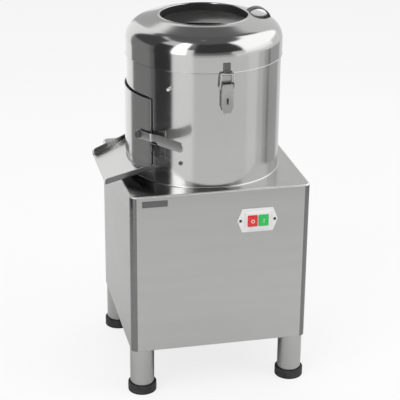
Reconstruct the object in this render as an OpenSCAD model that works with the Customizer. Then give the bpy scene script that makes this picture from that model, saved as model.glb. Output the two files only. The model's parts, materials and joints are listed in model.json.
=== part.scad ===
// Electric potato peeler: a steel cabinet on four legs, an abrasive drum with a spinning
// wave disc, a belt drive, a discharge door over a chute, and a hinged lid with an open mouth.
// Millimetres. +Z is up, +X is to the right, the front faces -Y. The origin is on the floor,
// midway between the four feet and on the axis of the drum.

/* [Cabinet] */
// Width of the cabinet across the front
cabinet_w = 420; // [400:5:460]
// Depth of the cabinet from front to back
cabinet_d = 400; // [390:5:440]
// Height of the cabinet walls up to the deck
cabinet_h = 389; // [380:1:430]
// Thickness of the cabinet sheet
sheet = 1.5; // [1:0.1:2]
// Radius of the upright corners
corner_r = 14; // [8:1:20]
// Radius of the bend from the deck into the walls
deck_bend = 3; // [2.5:0.5:5]
// Width of the service opening in the back wall
service_w = 300; // [240:10:310]
// Height of the service opening
service_h = 250; // [200:10:260]
// Height of the lower edge of the service opening above the cabinet's lower edge
service_rise = 75; // [70:1:85]
// Overlap of the service panel round its opening
service_lap = 14; // [12:1:18]
// Number of air slots in the service panel
vent_count = 7; // [3:1:9]
// Height of one air slot
vent_h = 5; // [4:0.5:7]
// Length of one air slot
vent_w = 90; // [60:5:140]

/* [Legs and feet] */
// Length of leg that shows between foot and cabinet
leg_show = 93.5; // [70:0.5:120]
// Outer diameter of the leg tube
leg_d = 57; // [50:1:58]
// Wall of the leg tube
leg_wall = 2; // [1.5:0.5:3]
// Distance from the cabinet's side to the middle of a leg
leg_inset_x = 29; // [29:0.5:32]
// Distance from the cabinet's front or back to the middle of a leg
leg_inset_y = 29; // [29:0.5:32]
// Thickness of the plugs welded into the leg tube
leg_plug = 6; // [5:1:10]
// Height of the rubber foot
foot_h = 22; // [18:1:30]
// Rubber round the leg tube
foot_wall = 5.2; // [4:0.2:7]
// Rubber under the leg tube
foot_floor = 7; // [5:0.5:9]
// Bevel round the sole of the foot
foot_bevel = 1.5; // [1:0.5:2.5]
// Diameter of the floor fixing hole through foot and plug
anchor_d = 10.5; // [8.5:0.5:12.5]

/* [Frame inside] */
// Width of the flange of the base frame
frame_flange = 60; // [59:1:66]
// Thickness of the base frame
frame_t = 3; // [2:0.5:4]
// Height of the upright edge of the base frame
frame_up = 20; // [12:1:26]
// Side of the angle rails that carry the drive plate
rail_side = 30; // [24:1:36]
// Thickness of the angle rails
rail_t = 3; // [2:0.5:4]
// Length of the angle rails
rail_l = 320; // [300:10:340]
// Height of the drive plate's underside above the cabinet's lower edge
plate_rise = 125; // [120:1:130]
// Thickness of the drive plate
plate_t = 8; // [6:1:10]
// Depth of the drive plate, front to back
plate_d = 300; // [290:5:310]
// Diameter of the frame bolts
bolt_d = 8; // [6:1:8]

/* [Drum] */
// Outer diameter of the drum
drum_d = 358; // [350:1:362]
// Height of the drum above the deck
drum_h = 283.5; // [275:0.5:300]
// Thickness of the drum wall
drum_wall = 1.5; // [1:0.1:2]
// Thickness of the drum floor
floor_t = 3; // [2:0.5:4]
// Half angle of the outlet seen from the drum's axis
outlet_half = 33; // [30:0.5:34]
// Height of the outlet's lower edge above the deck
outlet_rise = 45; // [43:0.5:47]
// Height of the outlet
outlet_h = 146; // [130:1:148]
// Thickness of the abrasive lining
liner_t = 6; // [4:0.5:8]
// Height of the lining's lower edge above the deck
liner_rise = 44; // [43:0.5:45]
// Depth of the lining's upper edge under the drum's rim
liner_drop = 12; // [8:1:20]
// Height above the deck of the studs that hold the lining
stud_rise = 231; // [222:1:236]
// Compass angle of the stud on the front left
stud_angle = -127.2; // [-130:0.1:-125]
// Diameter of the lining stud
stud_d = 6; // [5:0.5:8]
// Length of the stud's cap nut outside the drum
stud_l = 13; // [10:0.5:16]
// Distance of the drain pipe from the drum's axis
drain_at = 134; // [128:1:138]
// Compass angle of the drain pipe
drain_angle = 135; // [130:1:140]
// Outer diameter of the drain pipe
drain_d = 46; // [40:1:48]
// Wall of the drain pipe
drain_wall = 3; // [2:0.5:4]
// Outer diameter of the hose end of the drain pipe
hose_d = 50; // [49:0.5:54]
// Length of the hose end
hose_l = 45; // [30:1:60]
// Length of the drain pipe below the cabinet
drain_drop = 25; // [10:1:40]

/* [Drive] */
// Diameter of the main shaft
shaft_d = 25; // [22:1:28]
// Diameter of the main shaft where it carries the disc
spigot_d = 18; // [16:1:20]
// Outer diameter of the shaft bearings
bearing_d = 52; // [48:1:54]
// Height of one bearing
bearing_h = 15; // [12:1:18]
// Height of the shaft seal
seal_h = 8; // [6:0.5:10]
// Wall of the bearing housing
housing_wall = 8; // [6:0.5:10]
// Diameter of the housing's flange
flange_d = 150; // [140:2:160]
// Thickness of the housing's flange
flange_t = 10; // [8:1:12]
// Height of the housing's neck above the drum floor
neck_h = 15; // [12:0.5:17]
// Thickness of the stiffening plate under the deck
stiffener_t = 4; // [3:0.5:5]
// Diameter of the peeling disc
disc_d = 322; // [310:1:326]
// Height of the disc's underside above the deck
disc_rise = 27.5; // [27:0.5:29]
// Thickness of the disc
disc_t = 6; // [5:0.5:8]
// Thickness of the grit on the disc
grit_t = 6; // [4:0.5:7]
// Number of waves on the disc
wave_count = 3; // [2:1:5]
// Height of a wave above the grit
wave_h = 9; // [6:0.5:10]
// Radius of a wave's back
wave_r = 24; // [20:1:30]
// Diameter of the large pulley
pulley_d = 186; // [180:1:190]
// Diameter of the motor pulley
motor_pulley_d = 62; // [58:1:66]
// Height of the pulleys
pulley_h = 22; // [20:1:26]
// Width of the belt
belt_w = 10; // [8:0.5:12]
// Thickness of the belt
belt_t = 8; // [6:0.5:9]
// Distance between the main shaft and the motor shaft
belt_centres = 136; // [134:0.5:138]
// Compass angle of the motor seen from the main shaft
motor_angle = 39; // [36:0.5:42]
// Diameter of the motor over its fins
motor_d = 112; // [104:1:116]
// Length of the finned part of the motor
motor_l = 110; // [90:1:130]
// Diameter of the motor's flange
motor_flange_d = 144; // [142:1:148]
// Height of the run capacitor
capacitor_l = 84; // [60:1:100]
// Number of cooling fins
fin_count = 20; // [12:1:24]
// Diameter of the motor shaft
motor_shaft_d = 19; // [16:1:22]
// Number of fan blades
blade_count = 7; // [5:1:9]

/* [Chute] */
// Half width of the chute at its mouth
chute_mouth = 99; // [90:1:105]
// Half width of the chute at the drum
chute_root = 121; // [116:0.5:126]
// Distance of the mouth from the drum's axis
chute_reach = 249; // [240:1:260]
// Height of the mouth's lower edge over the deck, negative below it
chute_drop = -4.5; // [-8:0.5:0]
// Rise of the chute in degrees
chute_slope = 19.1; // [17:0.1:19.5]
// Height of the side flanges of the chute
chute_side = 12.5; // [10:0.5:14]

/* [Door] */
// Half angle of the door seen from the drum's axis
door_half = 37.3; // [36.5:0.1:38]
// Height of the door's lower edge above the deck
door_rise = 40.5; // [40:0.1:42]
// Height of the door
door_h = 157; // [152:1:162]
// Thickness of the door sheet
door_t = 1.5; // [1:0.1:2]
// Thickness of the door seal
door_seal_t = 2.9; // [2:0.1:4]
// Compass angle of the lever's bolt
lever_angle = -153; // [-155:0.5:-151]
// Height of the lever's bolt above the deck
lever_rise = 108.5; // [100:0.5:116]
// Length of the lever from bolt to tip
lever_l = 158; // [140:1:170]
// Width of the lever's shank
lever_w = 19; // [16:0.5:22]
// Width of the lever's grip
grip_w = 24; // [20:0.5:28]
// Thickness of the lever
lever_t = 3; // [2.5:0.5:4]
// Upward tilt of the lever in degrees
lever_tilt = 4; // [2:0.5:6]
// Inward step of the lever over the catch
lever_step = 2.5; // [1.5:0.5:3]

/* [Lid] */
// Outer diameter of the lid's skirt
lid_d = 363; // [362.6:0.1:366]
// Overlap of the skirt over the drum
lid_lap = 13; // [10:0.5:14]
// Height of the straight skirt
skirt_h = 36; // [32:0.5:42]
// Radius of the lid's shoulder
shoulder_r = 42; // [36:1:48]
// Slope of the lid's top in degrees
lid_slope = 15; // [12:0.5:18]
// Thickness of the lid sheet
lid_t = 1.5; // [1:0.1:2]
// Diameter of the mouth
mouth_d = 201; // [190:1:210]
// Width of the lip round the mouth
lip_w = 4.5; // [3:0.5:6]
// Depth of the collar inside the mouth
collar_h = 18; // [12:1:24]
// Thickness of the lid's gasket
gasket_t = 6; // [4:0.5:8]
// Width of the handle strap
handle_w = 22; // [18:1:28]
// Thickness of the handle strap
handle_t = 2.6; // [2:0.1:3.5]
// Radius of the handle's arch
handle_r = 33.5; // [32:0.5:35]
// Distance of the arch's middle from the drum's axis
handle_at = 126.5; // [124:0.5:129]
// Compass angle of the handle
handle_angle = 3; // [0:0.5:8]

/* [Latch] */
// Compass angle of the latch on the drum
latch_angle = -86.5; // [-90:0.5:-84]
// Depth of the latch pivot below the skirt's edge
latch_drop = 25; // [23:0.5:28]
// Width of the latch lever
latch_w = 27; // [24:0.5:30]
// Length of the latch lever below its pivot
latch_l = 64; // [56:1:72]
// Thickness of the latch sheet
latch_t = 1.2; // [1:0.1:1.6]
// Diameter of the bail wire
bail_d = 4; // [3:0.5:4]
// Distance from the bail's pivot up to its bar
bail_l = 35; // [34:0.5:36]
// Half width of the bail at its bar
bail_half = 14.5; // [14:0.5:16]
// Width of the keeper
keeper_w = 17; // [14:0.5:20]
// Height of the keeper
keeper_h = 17; // [14:0.5:20]

/* [Switch] */
// Distance of the switch's middle from the cabinet's right side
switch_in = 125.6; // [110:1:140]
// Distance of the switch's middle below the deck
switch_down = 76.2; // [70:1:90]
// Width of the switch plate from tip to tip
switch_w = 95; // [90:1:100]
// Height of the switch plate
switch_h = 57; // [54:1:60]
// Length of the plate's slanted ends
switch_tip = 11.5; // [9:0.5:14]
// Thickness of the switch plate
switch_t = 3; // [2:0.5:4]
// Height of the raised frame on the plate
bezel_t = 4; // [3:0.5:5]
// Width of one button
button_w = 22.5; // [20:0.5:24]
// Height of one button
button_h = 27; // [24:0.5:30]
// Gap between the two buttons
button_gap = 3.5; // [3:0.5:5]
// Travel of a button
button_travel = 2.5; // [1.5:0.5:3]
// Height that a button stands out of its frame
button_out = 3.5; // [3.5:0.5:5]

/* [Badge and connections] */
// Width of the blank badge
badge_w = 58.6; // [50:1:70]
// Height of the blank badge
badge_h = 15; // [10:0.5:20]
// Distance of the badge from the cabinet's left side
badge_in = 26.4; // [22:0.5:40]
// Distance of the badge's upper edge below the deck
badge_down = 11.5; // [9:0.5:20]
// Bore of the cable gland
gland_bore = 10; // [7:0.5:12]
// Distance of the cable gland from the cabinet's right side
gland_in = 90; // [80:1:100]
// Height of the cable gland above the cabinet's lower edge
gland_rise = 42; // [40:0.5:44]
// Outer diameter of the water inlet's thread
inlet_d = 20.95; // [20.95:0.05:26.45]
// Bore of the water inlet
inlet_bore = 14; // [12:0.5:16]
// Length of the water inlet's thread
inlet_l = 20; // [16:1:26]
// Compass angle of the water inlet
inlet_angle = 64; // [60:1:70]

/* [Clearances] */
// Clearance between pieces that move past each other
gap = 0.3; // [0.3:0.05:0.5]
// Radial clearance of a shaft or pin in its bore
fit = 0.05; // [0.02:0.01:0.08]
// Radial clearance of a bolt in its hole
bolt_slip = 0.3; // [0.2:0.05:0.5]

/* [Hidden] */

$fn = 64;
through = 1;
small_fn = 32;

// Heights above the floor
z_cabinet = foot_h + leg_show;
z_deck = z_cabinet + cabinet_h;
z_floor = z_deck + floor_t;
z_rim = z_deck + drum_h;
z_skirt = z_rim - lid_lap;
z_plate = z_cabinet + plate_rise;
z_plate_top = z_plate + plate_t;
z_disc = z_deck + disc_rise;
z_grit = z_disc + disc_t;

// Middles of the legs
leg_x = cabinet_w / 2 - leg_inset_x;
leg_y = cabinet_d / 2 - leg_inset_y;
leg_places = [for (x = [-leg_x, leg_x], y = [-leg_y, leg_y]) [x, y]];

// Radii of drum, lining and lid
drum_r = drum_d / 2;
drum_in = drum_r - drum_wall;
liner_out = drum_in - gap;
liner_in = liner_out - liner_t;
lid_r = lid_d / 2;
lid_in = lid_r - lid_t;

function polar(r, a) = [r * cos(a), r * sin(a)];

// Moves a child to the drum's wall: its X then points outward, its Y runs round the drum
module at_wall(angle, r, z) {
    rotate([0, 0, angle]) translate([r, 0, z]) children();
}

module ring(r_out, r_in, h) {
    difference() {
        cylinder(r = r_out, h = h);
        translate([0, 0, -through]) cylinder(r = r_in, h = h + 2 * through);
    }
}

// A piece of tube wall between two radii, centred on an angle
module wall_sector(r_in, r_out, h, angle, half) {
    far = 2 * r_out;
    intersection() {
        ring(r_out, r_in, h);
        translate([0, 0, -through]) linear_extrude(h + 2 * through)
            polygon([[0, 0], polar(far, angle - half), polar(far, angle), polar(far, angle + half)]);
    }
}

module rounded_rect(w, d, r) {
    square([w - 2 * r, d], center = true);
    square([w, d - 2 * r], center = true);
    for (x = [-1, 1], y = [-1, 1]) translate([x * (w / 2 - r), y * (d / 2 - r)]) circle(r);
}

// Hexagon head standing on z = 0 with its shank below
module bolt(d, shank, head) {
    rotate([0, 0, 30]) cylinder(r = d * 0.95, h = head, $fn = 6);
    translate([0, 0, -shank]) cylinder(d = d, h = shank + head / 2);
}

// Round low head standing on z = 0 with its shank below
module screw(d, shank, head_r, head) {
    cylinder(r1 = head_r, r2 = head_r * 0.75, h = head);
    translate([0, 0, -shank]) cylinder(d = d, h = shank + head / 2);
}

// ---------------------------------------------------------------- cabinet

// Section of a box whose two upper edges are bent round
module bend_section(w, h, r) {
    translate([-w / 2, 0]) square([w, h - r]);
    translate([-w / 2 + r, 0]) square([w - 2 * r, h]);
    for (x = [-1, 1]) translate([x * (w / 2 - r), h - r]) circle(r);
}

module bent_box(w, d, h, r, bend) {
    intersection() {
        linear_extrude(h) rounded_rect(w, d, r);
        translate([-w / 2, 0, 0]) rotate([90, 0, 90]) linear_extrude(w) bend_section(d, h, bend);
        translate([0, d / 2, 0]) rotate([90, 0, 0]) linear_extrude(d) bend_section(w, h, bend);
    }
}

cabinet_back = cabinet_d / 2;
cabinet_front = -cabinet_d / 2;
service_z = z_cabinet + service_rise;
service_screw_d = 4;
service_screw_x = service_w / 2 + service_lap / 2;
service_screw_z = service_z + service_h / 2;
service_screw_places = [for (x = [-1, 1], z = [-1, 0, 1])
    [x * service_screw_x, service_screw_z + z * (service_h / 2 - service_lap)]];
neck_r = bearing_d / 2 + housing_wall;
drain_place = polar(drain_at, drain_angle);
switch_x = cabinet_w / 2 - switch_in;
switch_z = z_deck - switch_down;
body_rim = 3;
switch_body_w = 2 * button_w + button_gap + 2 * body_rim;
switch_body_h = button_h + 4 * body_rim;
plate_screw_in = 7;
plate_screw_x = switch_w / 2 - plate_screw_in;
plate_screw_d = 3.5;
gland_x = cabinet_w / 2 - gland_in;
gland_z = z_cabinet + gland_rise;
gland_wall = 4;
gland_r = gland_bore / 2 + gland_wall;
housing_bolt_pcd = flange_d / 2 + neck_r;
drum_bolt_in = 24;
drum_bolt_at = drum_in - drum_bolt_in;
drum_bolt_d = 8;
drum_bolt_angles = [45, 180 + 45, -45];

// The cabinet is welded from flat sheets, four rolled corner posts and a deck with a bent rim
flat_w = cabinet_w - 2 * corner_r;
flat_d = cabinet_d - 2 * corner_r;
wall_h = cabinet_h - deck_bend;

module front_sheet() {
    color("silver") difference() {
        translate([-flat_w / 2, cabinet_front, z_cabinet]) cube([flat_w, sheet, wall_h]);
        translate([switch_x - switch_body_w / 2 - gap, cabinet_front - through,
                switch_z - switch_body_h / 2 - gap])
            cube([switch_body_w + 2 * gap, sheet + 2 * through, switch_body_h + 2 * gap]);
        for (x = [-1, 1]) translate([switch_x + x * plate_screw_x, cabinet_front + sheet + through, switch_z])
            rotate([90, 0, 0]) cylinder(d = plate_screw_d, h = sheet + 2 * through);
    }
}

module side_sheets() {
    color("silver") for (x = [-1, 1])
        translate([x * (cabinet_w - sheet) / 2 - sheet / 2, -flat_d / 2, z_cabinet])
            cube([sheet, flat_d, wall_h]);
}

module back_sheet() {
    color("silver") difference() {
        translate([-flat_w / 2, cabinet_back - sheet, z_cabinet]) cube([flat_w, sheet, wall_h]);
        translate([-service_w / 2, cabinet_back - sheet - through, service_z])
            cube([service_w, sheet + 2 * through, service_h]);
        back_screw_holes(sheet + 2 * through);
        translate([gland_x, cabinet_back + through, gland_z]) rotate([90, 0, 0])
            cylinder(r = gland_r + gap, h = sheet + 2 * through);
    }
}

module corner_posts() {
    color("silver") for (x = [-1, 1], y = [-1, 1])
        translate([x * flat_w / 2, y * flat_d / 2, z_cabinet]) intersection() {
            ring(corner_r, corner_r - sheet, wall_h);
            translate([(x - 1) / 2 * corner_r, (y - 1) / 2 * corner_r, -through])
                cube([corner_r, corner_r, wall_h + 2 * through]);
        }
}

module deck_sheet() {
    color("silver") difference() {
        translate([0, 0, z_cabinet]) bent_box(cabinet_w, cabinet_d, cabinet_h, corner_r, deck_bend);
        translate([0, 0, z_cabinet - through])
            bent_box(cabinet_w - 2 * sheet, cabinet_d - 2 * sheet, cabinet_h - sheet + through,
                corner_r - sheet, deck_bend - sheet);
        translate([-cabinet_w, -cabinet_d, z_cabinet - through])
            cube([2 * cabinet_w, 2 * cabinet_d, wall_h + through]);
        translate([0, 0, z_deck - sheet - through]) {
            cylinder(r = neck_r + gap, h = sheet + 2 * through);
            translate(drain_place) cylinder(d = drain_d + 2 * gap, h = sheet + 2 * through);
            housing_bolt_holes(sheet + 2 * through);
            drum_bolt_holes(sheet + 2 * through);
        }
    }
}

module housing_bolt_holes(h) {
    for (a = [0 : 90 : 270]) translate(polar(housing_bolt_pcd / 2, a + 45))
        cylinder(d = bolt_d + 2 * bolt_slip, h = h);
}

module drum_bolt_holes(h) {
    for (a = drum_bolt_angles) translate(polar(drum_bolt_at, a))
        cylinder(d = drum_bolt_d + 2 * bolt_slip, h = h);
}

module back_screw_holes(h) {
    for (p = service_screw_places) translate([p[0], cabinet_back - sheet - through, p[1]])
        rotate([-90, 0, 0]) cylinder(d = service_screw_d, h = h);
}

panel_t = 1.2;
vent_bridge = 9;
vent_pitch = vent_h + vent_bridge;
screw_end = 4;
low_head = 2.2;

module service_panel() {
    color("lightgray") difference() {
        translate([-service_w / 2 - service_lap, cabinet_back, service_z - service_lap])
            cube([service_w + 2 * service_lap, panel_t, service_h + 2 * service_lap]);
        for (i = [0 : vent_count - 1], x = [-1, 1])
            translate([x * service_w / 4 - vent_w / 2, cabinet_back - through,
                    service_screw_z + (i - (vent_count - 1) / 2) * vent_pitch - vent_h / 2])
                cube([vent_w, panel_t + 2 * through, vent_h]);
        translate([0, sheet, 0]) back_screw_holes(panel_t + 2 * through);
    }
}

module service_screws() {
    for (p = service_screw_places) translate([p[0], cabinet_back + panel_t, p[1]])
        rotate([-90, 0, 0]) screw(service_screw_d, panel_t + sheet + screw_end, service_screw_d, low_head);
}

// ---------------------------------------------------------------- legs, feet and inner frame

frame_w = cabinet_w - 2 * sheet;
frame_d = cabinet_d - 2 * sheet;
frame_r = corner_r - sheet;
leg_r = leg_d / 2;

module base_frame() {
    color("gray") translate([0, 0, z_cabinet]) difference() {
        linear_extrude(frame_up) rounded_rect(frame_w, frame_d, frame_r);
        translate([0, 0, frame_t]) linear_extrude(frame_up)
            rounded_rect(frame_w - 2 * frame_t, frame_d - 2 * frame_t, frame_r - frame_t);
        translate([0, 0, -through]) linear_extrude(frame_up)
            square([frame_w - 2 * frame_flange, frame_d - 2 * frame_flange], center = true);
        for (p = leg_places) translate([p[0], p[1], -through])
            cylinder(d = bolt_d + 2 * bolt_slip, h = frame_t + 2 * through);
    }
}

module leg() {
    difference() {
        translate([0, 0, foot_floor]) cylinder(r = leg_r, h = z_cabinet - foot_floor);
        translate([0, 0, foot_floor + leg_plug])
            cylinder(r = leg_r - leg_wall, h = z_cabinet - foot_floor - 2 * leg_plug);
        cylinder(d = anchor_d, h = foot_floor + leg_plug + through);
        translate([0, 0, z_cabinet - leg_plug - through])
            cylinder(d = bolt_d + 2 * fit, h = leg_plug + 2 * through);
    }
}

module legs() {
    color("silver") for (p = leg_places) translate(p) leg();
}

module foot() {
    difference() {
        union() {
            cylinder(r1 = leg_r + foot_wall - foot_bevel, r2 = leg_r + foot_wall, h = foot_bevel);
            translate([0, 0, foot_bevel]) cylinder(r = leg_r + foot_wall, h = foot_h - foot_bevel);
        }
        translate([0, 0, foot_floor]) cylinder(r = leg_r + fit, h = foot_h);
        translate([0, 0, -through]) cylinder(d = anchor_d, h = foot_h);
    }
}

module feet() {
    color([0.07, 0.07, 0.07]) for (p = leg_places) translate(p) foot();
}

rail_bolt_x = frame_w / 2 - rail_side / 2;
rail_bolt_in = 20;
rail_bolt_y = plate_d / 2 - rail_bolt_in;
rail_bolt_places = [for (x = [-1, 1], y = [-1, 1]) [x * rail_bolt_x, y * rail_bolt_y]];

module side_rails() {
    color("gray") for (x = [-1, 1]) difference() {
        translate([x * (frame_w / 2 - rail_side / 2) - rail_side / 2, -rail_l / 2, z_plate - rail_side])
            cube([rail_side, rail_l, rail_side]);
        translate([x * (frame_w / 2 - rail_side / 2 - rail_t) - rail_side / 2, -rail_l / 2 - through,
                z_plate - rail_side - rail_t])
            cube([rail_side, rail_l + 2 * through, rail_side]);
        for (y = [-1, 1]) translate([x * rail_bolt_x, y * rail_bolt_y, z_plate - rail_t - through])
            cylinder(d = bolt_d + 2 * fit, h = rail_t + 2 * through);
    }
}

motor_place = polar(belt_centres, motor_angle);
motor_bolt_in = 9;
motor_bolt_at = motor_flange_d / 2 - motor_bolt_in;
motor_bolt_places = [for (a = [0 : 90 : 270]) motor_place + polar(motor_bolt_at, motor_angle + a)];
motor_shaft_r = motor_shaft_d / 2;
shaft_room = 10;
pipe_room = 2;

module drive_plate() {
    color("slategray") difference() {
        translate([-frame_w / 2 + gap, -plate_d / 2, z_plate]) cube([frame_w - 2 * gap, plate_d, plate_t]);
        translate([0, 0, z_plate - through]) {
            cylinder(r = shaft_d / 2 + shaft_room, h = plate_t + 2 * through);
            translate(motor_place) cylinder(r = motor_shaft_r + shaft_room, h = plate_t + 2 * through);
            translate(drain_place) cylinder(r = drain_d / 2 + pipe_room, h = plate_t + 2 * through);
            for (p = concat(rail_bolt_places, motor_bolt_places))
                translate(p) cylinder(d = bolt_d + 2 * bolt_slip, h = plate_t + 2 * through);
        }
    }
}

bolt_head = 5;
bolt_end = 2;
motor_foot_t = 10;
washer_r = 1.5 * bolt_d;
washer_t = 2;

// Hexagon bolts: base frame to legs, drive plate to rails, motor to drive plate, housing to deck
module frame_bolts() {
    for (p = leg_places) translate([p[0], p[1], z_cabinet + frame_t]) {
        cylinder(r = washer_r, h = washer_t);
        translate([0, 0, washer_t]) bolt(bolt_d, washer_t + frame_t + leg_plug, bolt_head);
    }
    for (p = rail_bolt_places) translate([p[0], p[1], z_plate_top])
        bolt(bolt_d, plate_t + rail_t + bolt_end, bolt_head);
    for (p = motor_bolt_places) translate([p[0], p[1], z_plate_top + motor_foot_t])
        bolt(bolt_d, motor_foot_t + plate_t + bolt_end, bolt_head);
    for (a = [0 : 90 : 270]) translate(concat(polar(housing_bolt_pcd / 2, a + 45), [z_flange]))
        rotate([180, 0, 0]) bolt(bolt_d, flange_t + stiffener_t + sheet, bolt_head);
}

// ---------------------------------------------------------------- bearing housing and main shaft

z_stiffener = z_deck - sheet - stiffener_t;
z_flange = z_stiffener - flange_t;
z_neck = z_floor + neck_h;
housing_lift = 6;
z_housing = z_plate_top + housing_lift;
stiffener_rim = 20;
stiffener_w = flange_d + 2 * stiffener_rim;
shaft_r = shaft_d / 2;
spigot_r = spigot_d / 2;
pocket_r = bearing_d / 2 + fit;
bearing_lip = 5;
core_r = bearing_d / 2 - bearing_lip;
z_upper_bearing = z_neck - seal_h - bearing_h;

module deck_stiffener() {
    color("gray") translate([0, 0, z_stiffener]) difference() {
        translate([-stiffener_w / 2, -stiffener_w / 2, 0]) cube([stiffener_w, stiffener_w, stiffener_t]);
        translate([0, 0, -through]) {
            cylinder(r = neck_r + gap, h = stiffener_t + 2 * through);
            housing_bolt_holes(stiffener_t + 2 * through);
            translate(drain_place) cylinder(r = drain_d / 2 + pipe_room, h = stiffener_t + 2 * through);
        }
    }
}

module bearing_housing() {
    color("darkgray") difference() {
        union() {
            translate([0, 0, z_housing]) cylinder(r = neck_r, h = z_neck - z_housing);
            translate([0, 0, z_flange]) cylinder(d = flange_d, h = flange_t);
        }
        translate([0, 0, z_housing - through]) cylinder(r = core_r, h = z_neck - z_housing + 2 * through);
        translate([0, 0, z_upper_bearing]) cylinder(r = pocket_r, h = z_neck - z_upper_bearing + through);
        translate([0, 0, z_housing - through]) cylinder(r = pocket_r, h = bearing_h + through);
        translate([0, 0, z_flange - through]) housing_bolt_holes(flange_t + 2 * through);
    }
}

module shaft_bearings() {
    color("lightsteelblue") for (z = [z_housing, z_upper_bearing])
        translate([0, 0, z]) ring(bearing_d / 2, shaft_r + fit, bearing_h);
}

module shaft_seal() {
    color([0.1, 0.1, 0.1]) translate([0, 0, z_neck - seal_h]) ring(bearing_d / 2, shaft_r + fit, seal_h);
}

pulley_drop = 12;
shaft_end = 22;
spigot_step = 2.5;
thread_l = 14;
z_pulley = z_plate - pulley_drop - pulley_h;
z_shaft = z_pulley - shaft_end;
lower_spigot_r = shaft_r - spigot_step;

module main_shaft() {
    color("lightgray") {
        translate([0, 0, z_pulley + pulley_h]) cylinder(r = shaft_r, h = z_disc - z_pulley - pulley_h);
        translate([0, 0, z_disc]) cylinder(r = spigot_r, h = disc_t + grit_t + thread_l);
        translate([0, 0, z_shaft]) cylinder(r = lower_spigot_r, h = z_pulley + pulley_h - z_shaft);
    }
}

hub_room = 4;
hub_r = neck_r + hub_room;
hub_wall = 6;

module peeling_disc() {
    color("darkgray") difference() {
        union() {
            translate([0, 0, z_disc]) cylinder(d = disc_d, h = disc_t);
            translate([0, 0, z_floor + hub_room]) ring(hub_r + hub_wall, hub_r, z_disc - z_floor - hub_room);
        }
        translate([0, 0, z_disc - through]) cylinder(r = spigot_r + fit, h = disc_t + 2 * through);
    }
}

grit_in = 3;
grit_r = disc_d / 2 - grit_in;
nut_r = spigot_r * 1.7;
nut_room = 2;
nut_washer = 3;
nut_h = 16;
nut_cap = 8;
wave_in = 10;
wave_out = 12;

module disc_grit() {
    color([0.25, 0.24, 0.23]) difference() {
        union() {
            translate([0, 0, z_grit]) cylinder(r = grit_r, h = grit_t);
            intersection() {
                translate([0, 0, z_grit]) cylinder(r = grit_r, h = grit_t + wave_h + through);
                for (i = [0 : wave_count - 1]) rotate([0, 0, i * 360 / wave_count])
                    translate([nut_r + wave_in, 0, z_grit + grit_t + wave_h - wave_r])
                        rotate([0, 90, 0]) cylinder(r = wave_r, h = grit_r - nut_r - wave_in - wave_out);
            }
        }
        translate([0, 0, z_grit - through]) cylinder(r = nut_r + nut_room, h = grit_t + wave_h + 2 * through);
    }
}

module disc_nut() {
    color("silver") difference() {
        union() {
            translate([0, 0, z_grit]) cylinder(r = nut_r, h = nut_washer);
            translate([0, 0, z_grit]) cylinder(r = nut_r * 0.9, h = nut_h, $fn = 6);
            translate([0, 0, z_grit + nut_h]) cylinder(r1 = nut_r * 0.72, r2 = nut_r * 0.4, h = nut_cap);
        }
        translate([0, 0, z_grit - through])
            cylinder(r = spigot_r + fit, h = grit_t + thread_l + gap + through);
    }
}

groove_t = belt_t + 2;
hub_rim = 14;
pulley_rim = 8;

module pulley(r, hub, bore, h) {
    difference() {
        union() {
            cylinder(r = r - groove_t, h = h);
            cylinder(r = r, h = (h - belt_w) / 2 - gap);
            translate([0, 0, (h + belt_w) / 2 + gap]) cylinder(r = r, h = (h - belt_w) / 2 - gap);
        }
        translate([0, 0, -through]) cylinder(r = bore + fit, h = h + 2 * through);
        if (hub > 0) difference() {
            translate([0, 0, h * 0.7]) cylinder(r = r - groove_t - pulley_rim, h = h);
            cylinder(r = hub, h = 2 * h);
        }
    }
}

module large_pulley() {
    color("gray") translate([0, 0, z_pulley])
        pulley(pulley_d / 2, shaft_r + hub_rim, lower_spigot_r, pulley_h);
}

module pulley_nut() {
    color("dimgray") translate([0, 0, z_pulley]) rotate([180, 0, 0]) difference() {
        union() {
            cylinder(r = lower_spigot_r + 8, h = 2.5);
            cylinder(r = lower_spigot_r * 1.65, h = 14, $fn = 6);
        }
        translate([0, 0, -through]) cylinder(r = lower_spigot_r + fit, h = 14 + 2 * through);
    }
}

z_belt = z_pulley + (pulley_h - belt_w) / 2;
belt_in_big = pulley_d / 2 - groove_t + gap;
belt_in_small = motor_pulley_d / 2 - groove_t + gap;
belt_wrap = acos((belt_in_big - belt_in_small) / belt_centres);

// Outline of a belt laid round both pulleys at a distance from their grooves
module belt_outline(off) {
    big = belt_in_big + off;
    little = belt_in_small + off;
    circle(big, $fn = 96);
    translate([belt_centres, 0]) circle(little);
    polygon([polar(big, belt_wrap), polar(big, -belt_wrap),
        [belt_centres, 0] + polar(little, -belt_wrap), [belt_centres, 0] + polar(little, belt_wrap)]);
}

module drive_belt() {
    color([0.08, 0.08, 0.08]) rotate([0, 0, motor_angle]) translate([0, 0, z_belt]) difference() {
        linear_extrude(belt_w) belt_outline(belt_t);
        translate([0, 0, -through]) linear_extrude(belt_w + 2 * through) belt_outline(0);
    }
}

// ---------------------------------------------------------------- motor

z_bell = z_plate_top;
bell_h = 30;
z_stator = z_bell + bell_h;
z_rear_bell = z_stator + motor_l;
rear_bell_h = 16;
fan_room = 3;
z_fan = z_rear_bell + rear_bell_h + fan_room;
fan_h = 20;
cover_h = 32;
motor_r = motor_d / 2;
fin_h = 5;

module at_motor(z) {
    translate([motor_place[0], motor_place[1], z]) rotate([0, 0, motor_angle]) children();
}

module motor_pulley() {
    color("gray") at_motor(z_pulley) pulley(motor_pulley_d / 2, 0, motor_shaft_r, pulley_h);
}

module motor_shaft() {
    color("silver") at_motor(z_pulley) cylinder(r = motor_shaft_r, h = z_fan + fan_h - z_pulley);
}

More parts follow.
